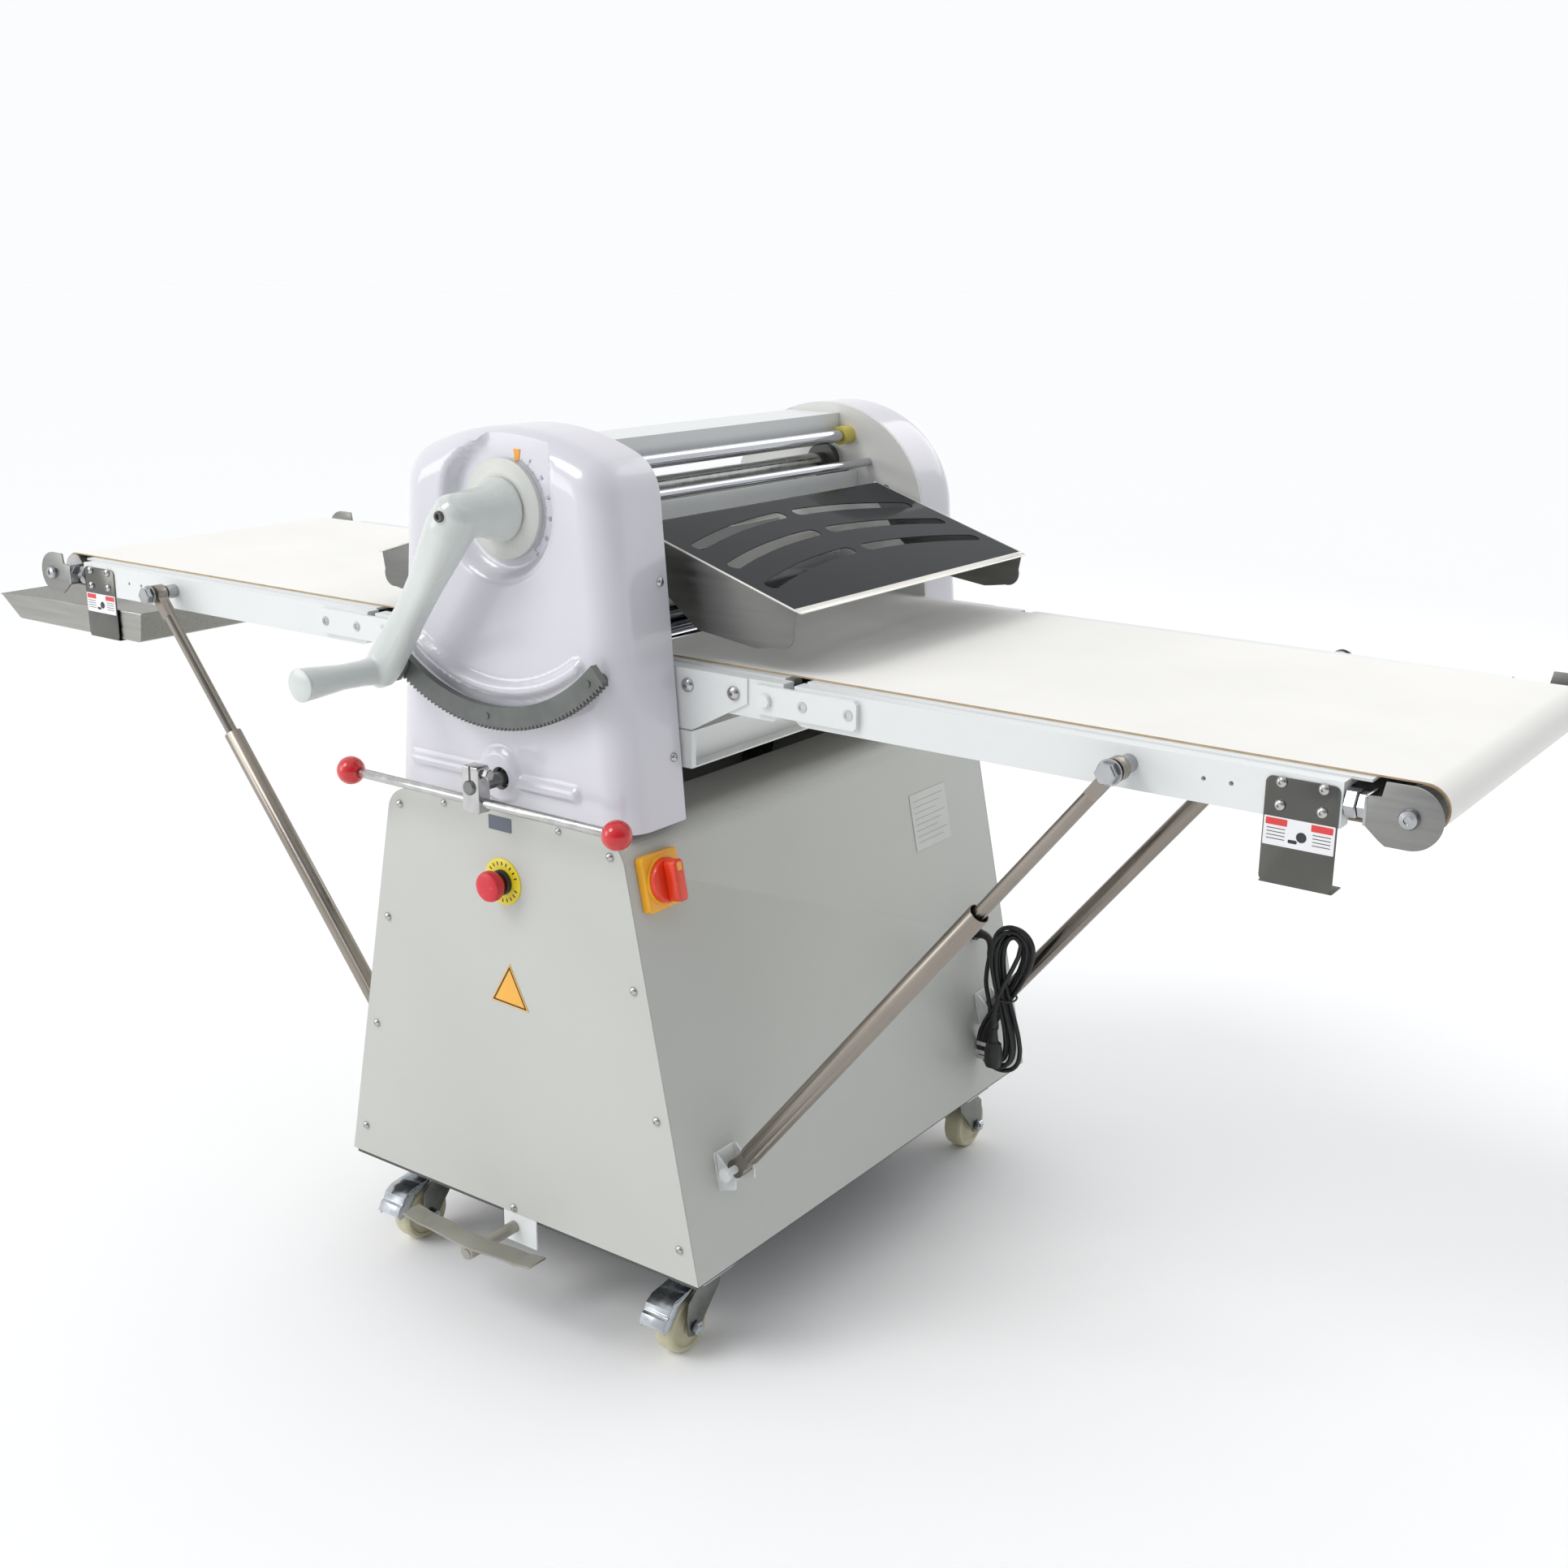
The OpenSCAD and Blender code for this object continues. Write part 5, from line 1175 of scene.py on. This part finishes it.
def make_pan(m):
    """The stainless catch pan under the left table's end."""
    profile = [(-1.2295, 0.7885), (-1.227, 0.79), (-1.1815, 0.7575), (-1.1775, 0.7562), (-0.87, 0.7562),
        (-0.8668, 0.758), (-0.861, 0.799), (-0.8598, 0.8)]
    rows = [-0.2795, -0.2795 + 0.004] + [-0.2 + 0.1 * i for i in range(5)] + [0.2795 - 0.004, 0.2795]
    bm = bmesh.new()
    rings = [[bm.verts.new((x, y, z)) for x, z in profile] for y in rows]
    for a, b in zip(rings, rings[1:]):
        for k in range(len(profile) - 1):
            bm.faces.new((a[k], a[k + 1], b[k + 1], b[k]))
    for ring, y in ((rings[0], -0.2795), (rings[-1], 0.2795)):
        tops = [bm.verts.new((x, y, z)) for x, z in ((-1.2285, 0.7905), (-1.1, 0.796), (-0.96, 0.8),
            (-0.86, 0.8005))]
        bm.faces.new(list(ring) + list(reversed(tops)))
    pan = from_bmesh("pan_sheet", bm, 30)
    add_modifier(pan, "SOLIDIFY", thickness=0.0012, offset=0)
    bake_modifiers(pan)
    finish_piece(pan, "table_left", "brushed_steel", m["brushed"], ["catch_pan"])


# ---------------------------------------------------------------- CAD nodes that stay
CAD_LOOKS = {"dark": "cabinet_frame shaft_bearings motor drive_roller_right drive_roller_left",
    "panel": "end_panels side_covers", "plate": "head_plates roller_carriage",
    "white": "bed_rails bed_gussets top_cover mounting_brackets table_right_frame table_left_frame",
    "chrome": "tie_rods lower_roller upper_roller", "quadrant": "toothed_quadrant", "black": "cord_gland",
    "bright": "adjusting_shaft end_roller_right end_roller_left",
    "strut": "strut_tube_right strut_tube_left strut_rod_right strut_rod_left",}
BEVELS = {0.0012: "end_panels", 0.0006: "side_covers toothed_quadrant top_cover",
    0.0018: "table_right_frame table_left_frame",
    0.0005: "strut_tube_right strut_tube_left strut_rod_right strut_rod_left",}


def dress_cad_nodes(m):
    for look, names in CAD_LOOKS.items():
        for name in names.split():
            nodes[name].data.materials.clear()
            nodes[name].data.materials.append(m[look])
    for width, names in BEVELS.items():
        for name in names.split():
            add_modifier(nodes[name], "WELD", merge_threshold=0.00002)
            add_modifier(nodes[name], "BEVEL", width=width, segments=2, limit_method="ANGLE",
                angle_limit=math.radians(50), harden_normals=True)
    rods = nodes["tie_rods"].data
    rods.materials.append(m["bush"])
    for face in rods.polygons:
        c = face.center
        if math.hypot(c.x - 0.038, c.z - 1.084) > 0.0093 and 0.262 < abs(c.y) < 0.2852 and c.x < 0.056:
            face.material_index = 1


def make_world():
    """A white studio that is darker towards the right-hand side of the machine."""
    world = bpy.data.worlds.new("studio")
    bpy.context.scene.world = world
    world.use_nodes = True
    tree = world.node_tree
    coords = tree.nodes.new("ShaderNodeTexCoord")
    toward = tree.nodes.new("ShaderNodeVectorMath")
    toward.operation = "DOT_PRODUCT"
    toward.inputs[1].default_value = (0.86, -0.5, -0.1)
    shades = tree.nodes.new("ShaderNodeValToRGB")
    shades.color_ramp.elements[0].position = 0.0
    shades.color_ramp.elements[0].color = (0.97, 0.975, 0.985, 1)
    shades.color_ramp.elements[1].position = 0.85
    shades.color_ramp.elements[1].color = (0.2, 0.21, 0.23, 1)
    middle = shades.color_ramp.elements.new(0.35)
    middle.color = (0.74, 0.76, 0.8, 1)
    tree.links.new(coords.outputs["Generated"], toward.inputs[0])
    tree.links.new(toward.outputs["Value"], shades.inputs["Fac"])
    tree.links.new(shades.outputs["Color"], tree.nodes["Background"].inputs["Color"])


def add_light(name, kind, place, target, energy, **values):
    data = bpy.data.lights.new(name, kind)
    data.energy = energy
    for key, value in values.items():
        setattr(data, key, value)
    light = bpy.data.objects.new(name, data)
    light.location = place
    light.rotation_mode = "QUATERNION"
    light.rotation_quaternion = (Vector(target) - Vector(place)).to_track_quat("-Z", "Y")
    bpy.context.scene.collection.objects.link(light)


def make_stage():
    bm = bmesh.new()
    bmesh.ops.create_grid(bm, x_segments=1, y_segments=1, size=60)
    floor = from_bmesh("floor", bm, 0)
    floor.data.materials.append(surface("pale_floor", (0.95, 0.95, 0.95), 0.8, scale=0.8, vary=0.002,
        rough_vary=0.02))
    make_world()
    add_light("key", "SUN", (-1.6, -3.0, 4.2), (0, 0, 0.7), 0.85, angle=math.radians(24))
    add_light("rear", "AREA", (0.6, 3.6, 3.0), (0, 0, 0.9), 22, shape="SQUARE", size=2.4)
    add_light("front", "AREA", (-2.6, -3.0, 1.6), (0, 0, 0.8), 26, shape="SQUARE", size=1.8)
    bpy.context.scene.view_settings.view_transform = "Standard"


make_covers(materials)
make_dial(materials)
make_gap_lever(materials)
for side, label in ((1, "right"), (-1, "left")):
    make_guard(materials, side, label)
    make_belt(materials, side, label)
    make_table_fittings(materials, side, label)
make_direction_lever(materials)
make_stop_button(materials)
make_isolator(materials)
make_pedal(materials)
make_signs(materials)
make_screws(materials)
for label, sx, sy in (("fr", 1, -1), ("fl", -1, -1), ("rr", 1, 1), ("rl", -1, 1)):
    make_castor(materials, label, sx, sy, sy < 0)
make_pan(materials)
dress_cad_nodes(materials)
make_stage()
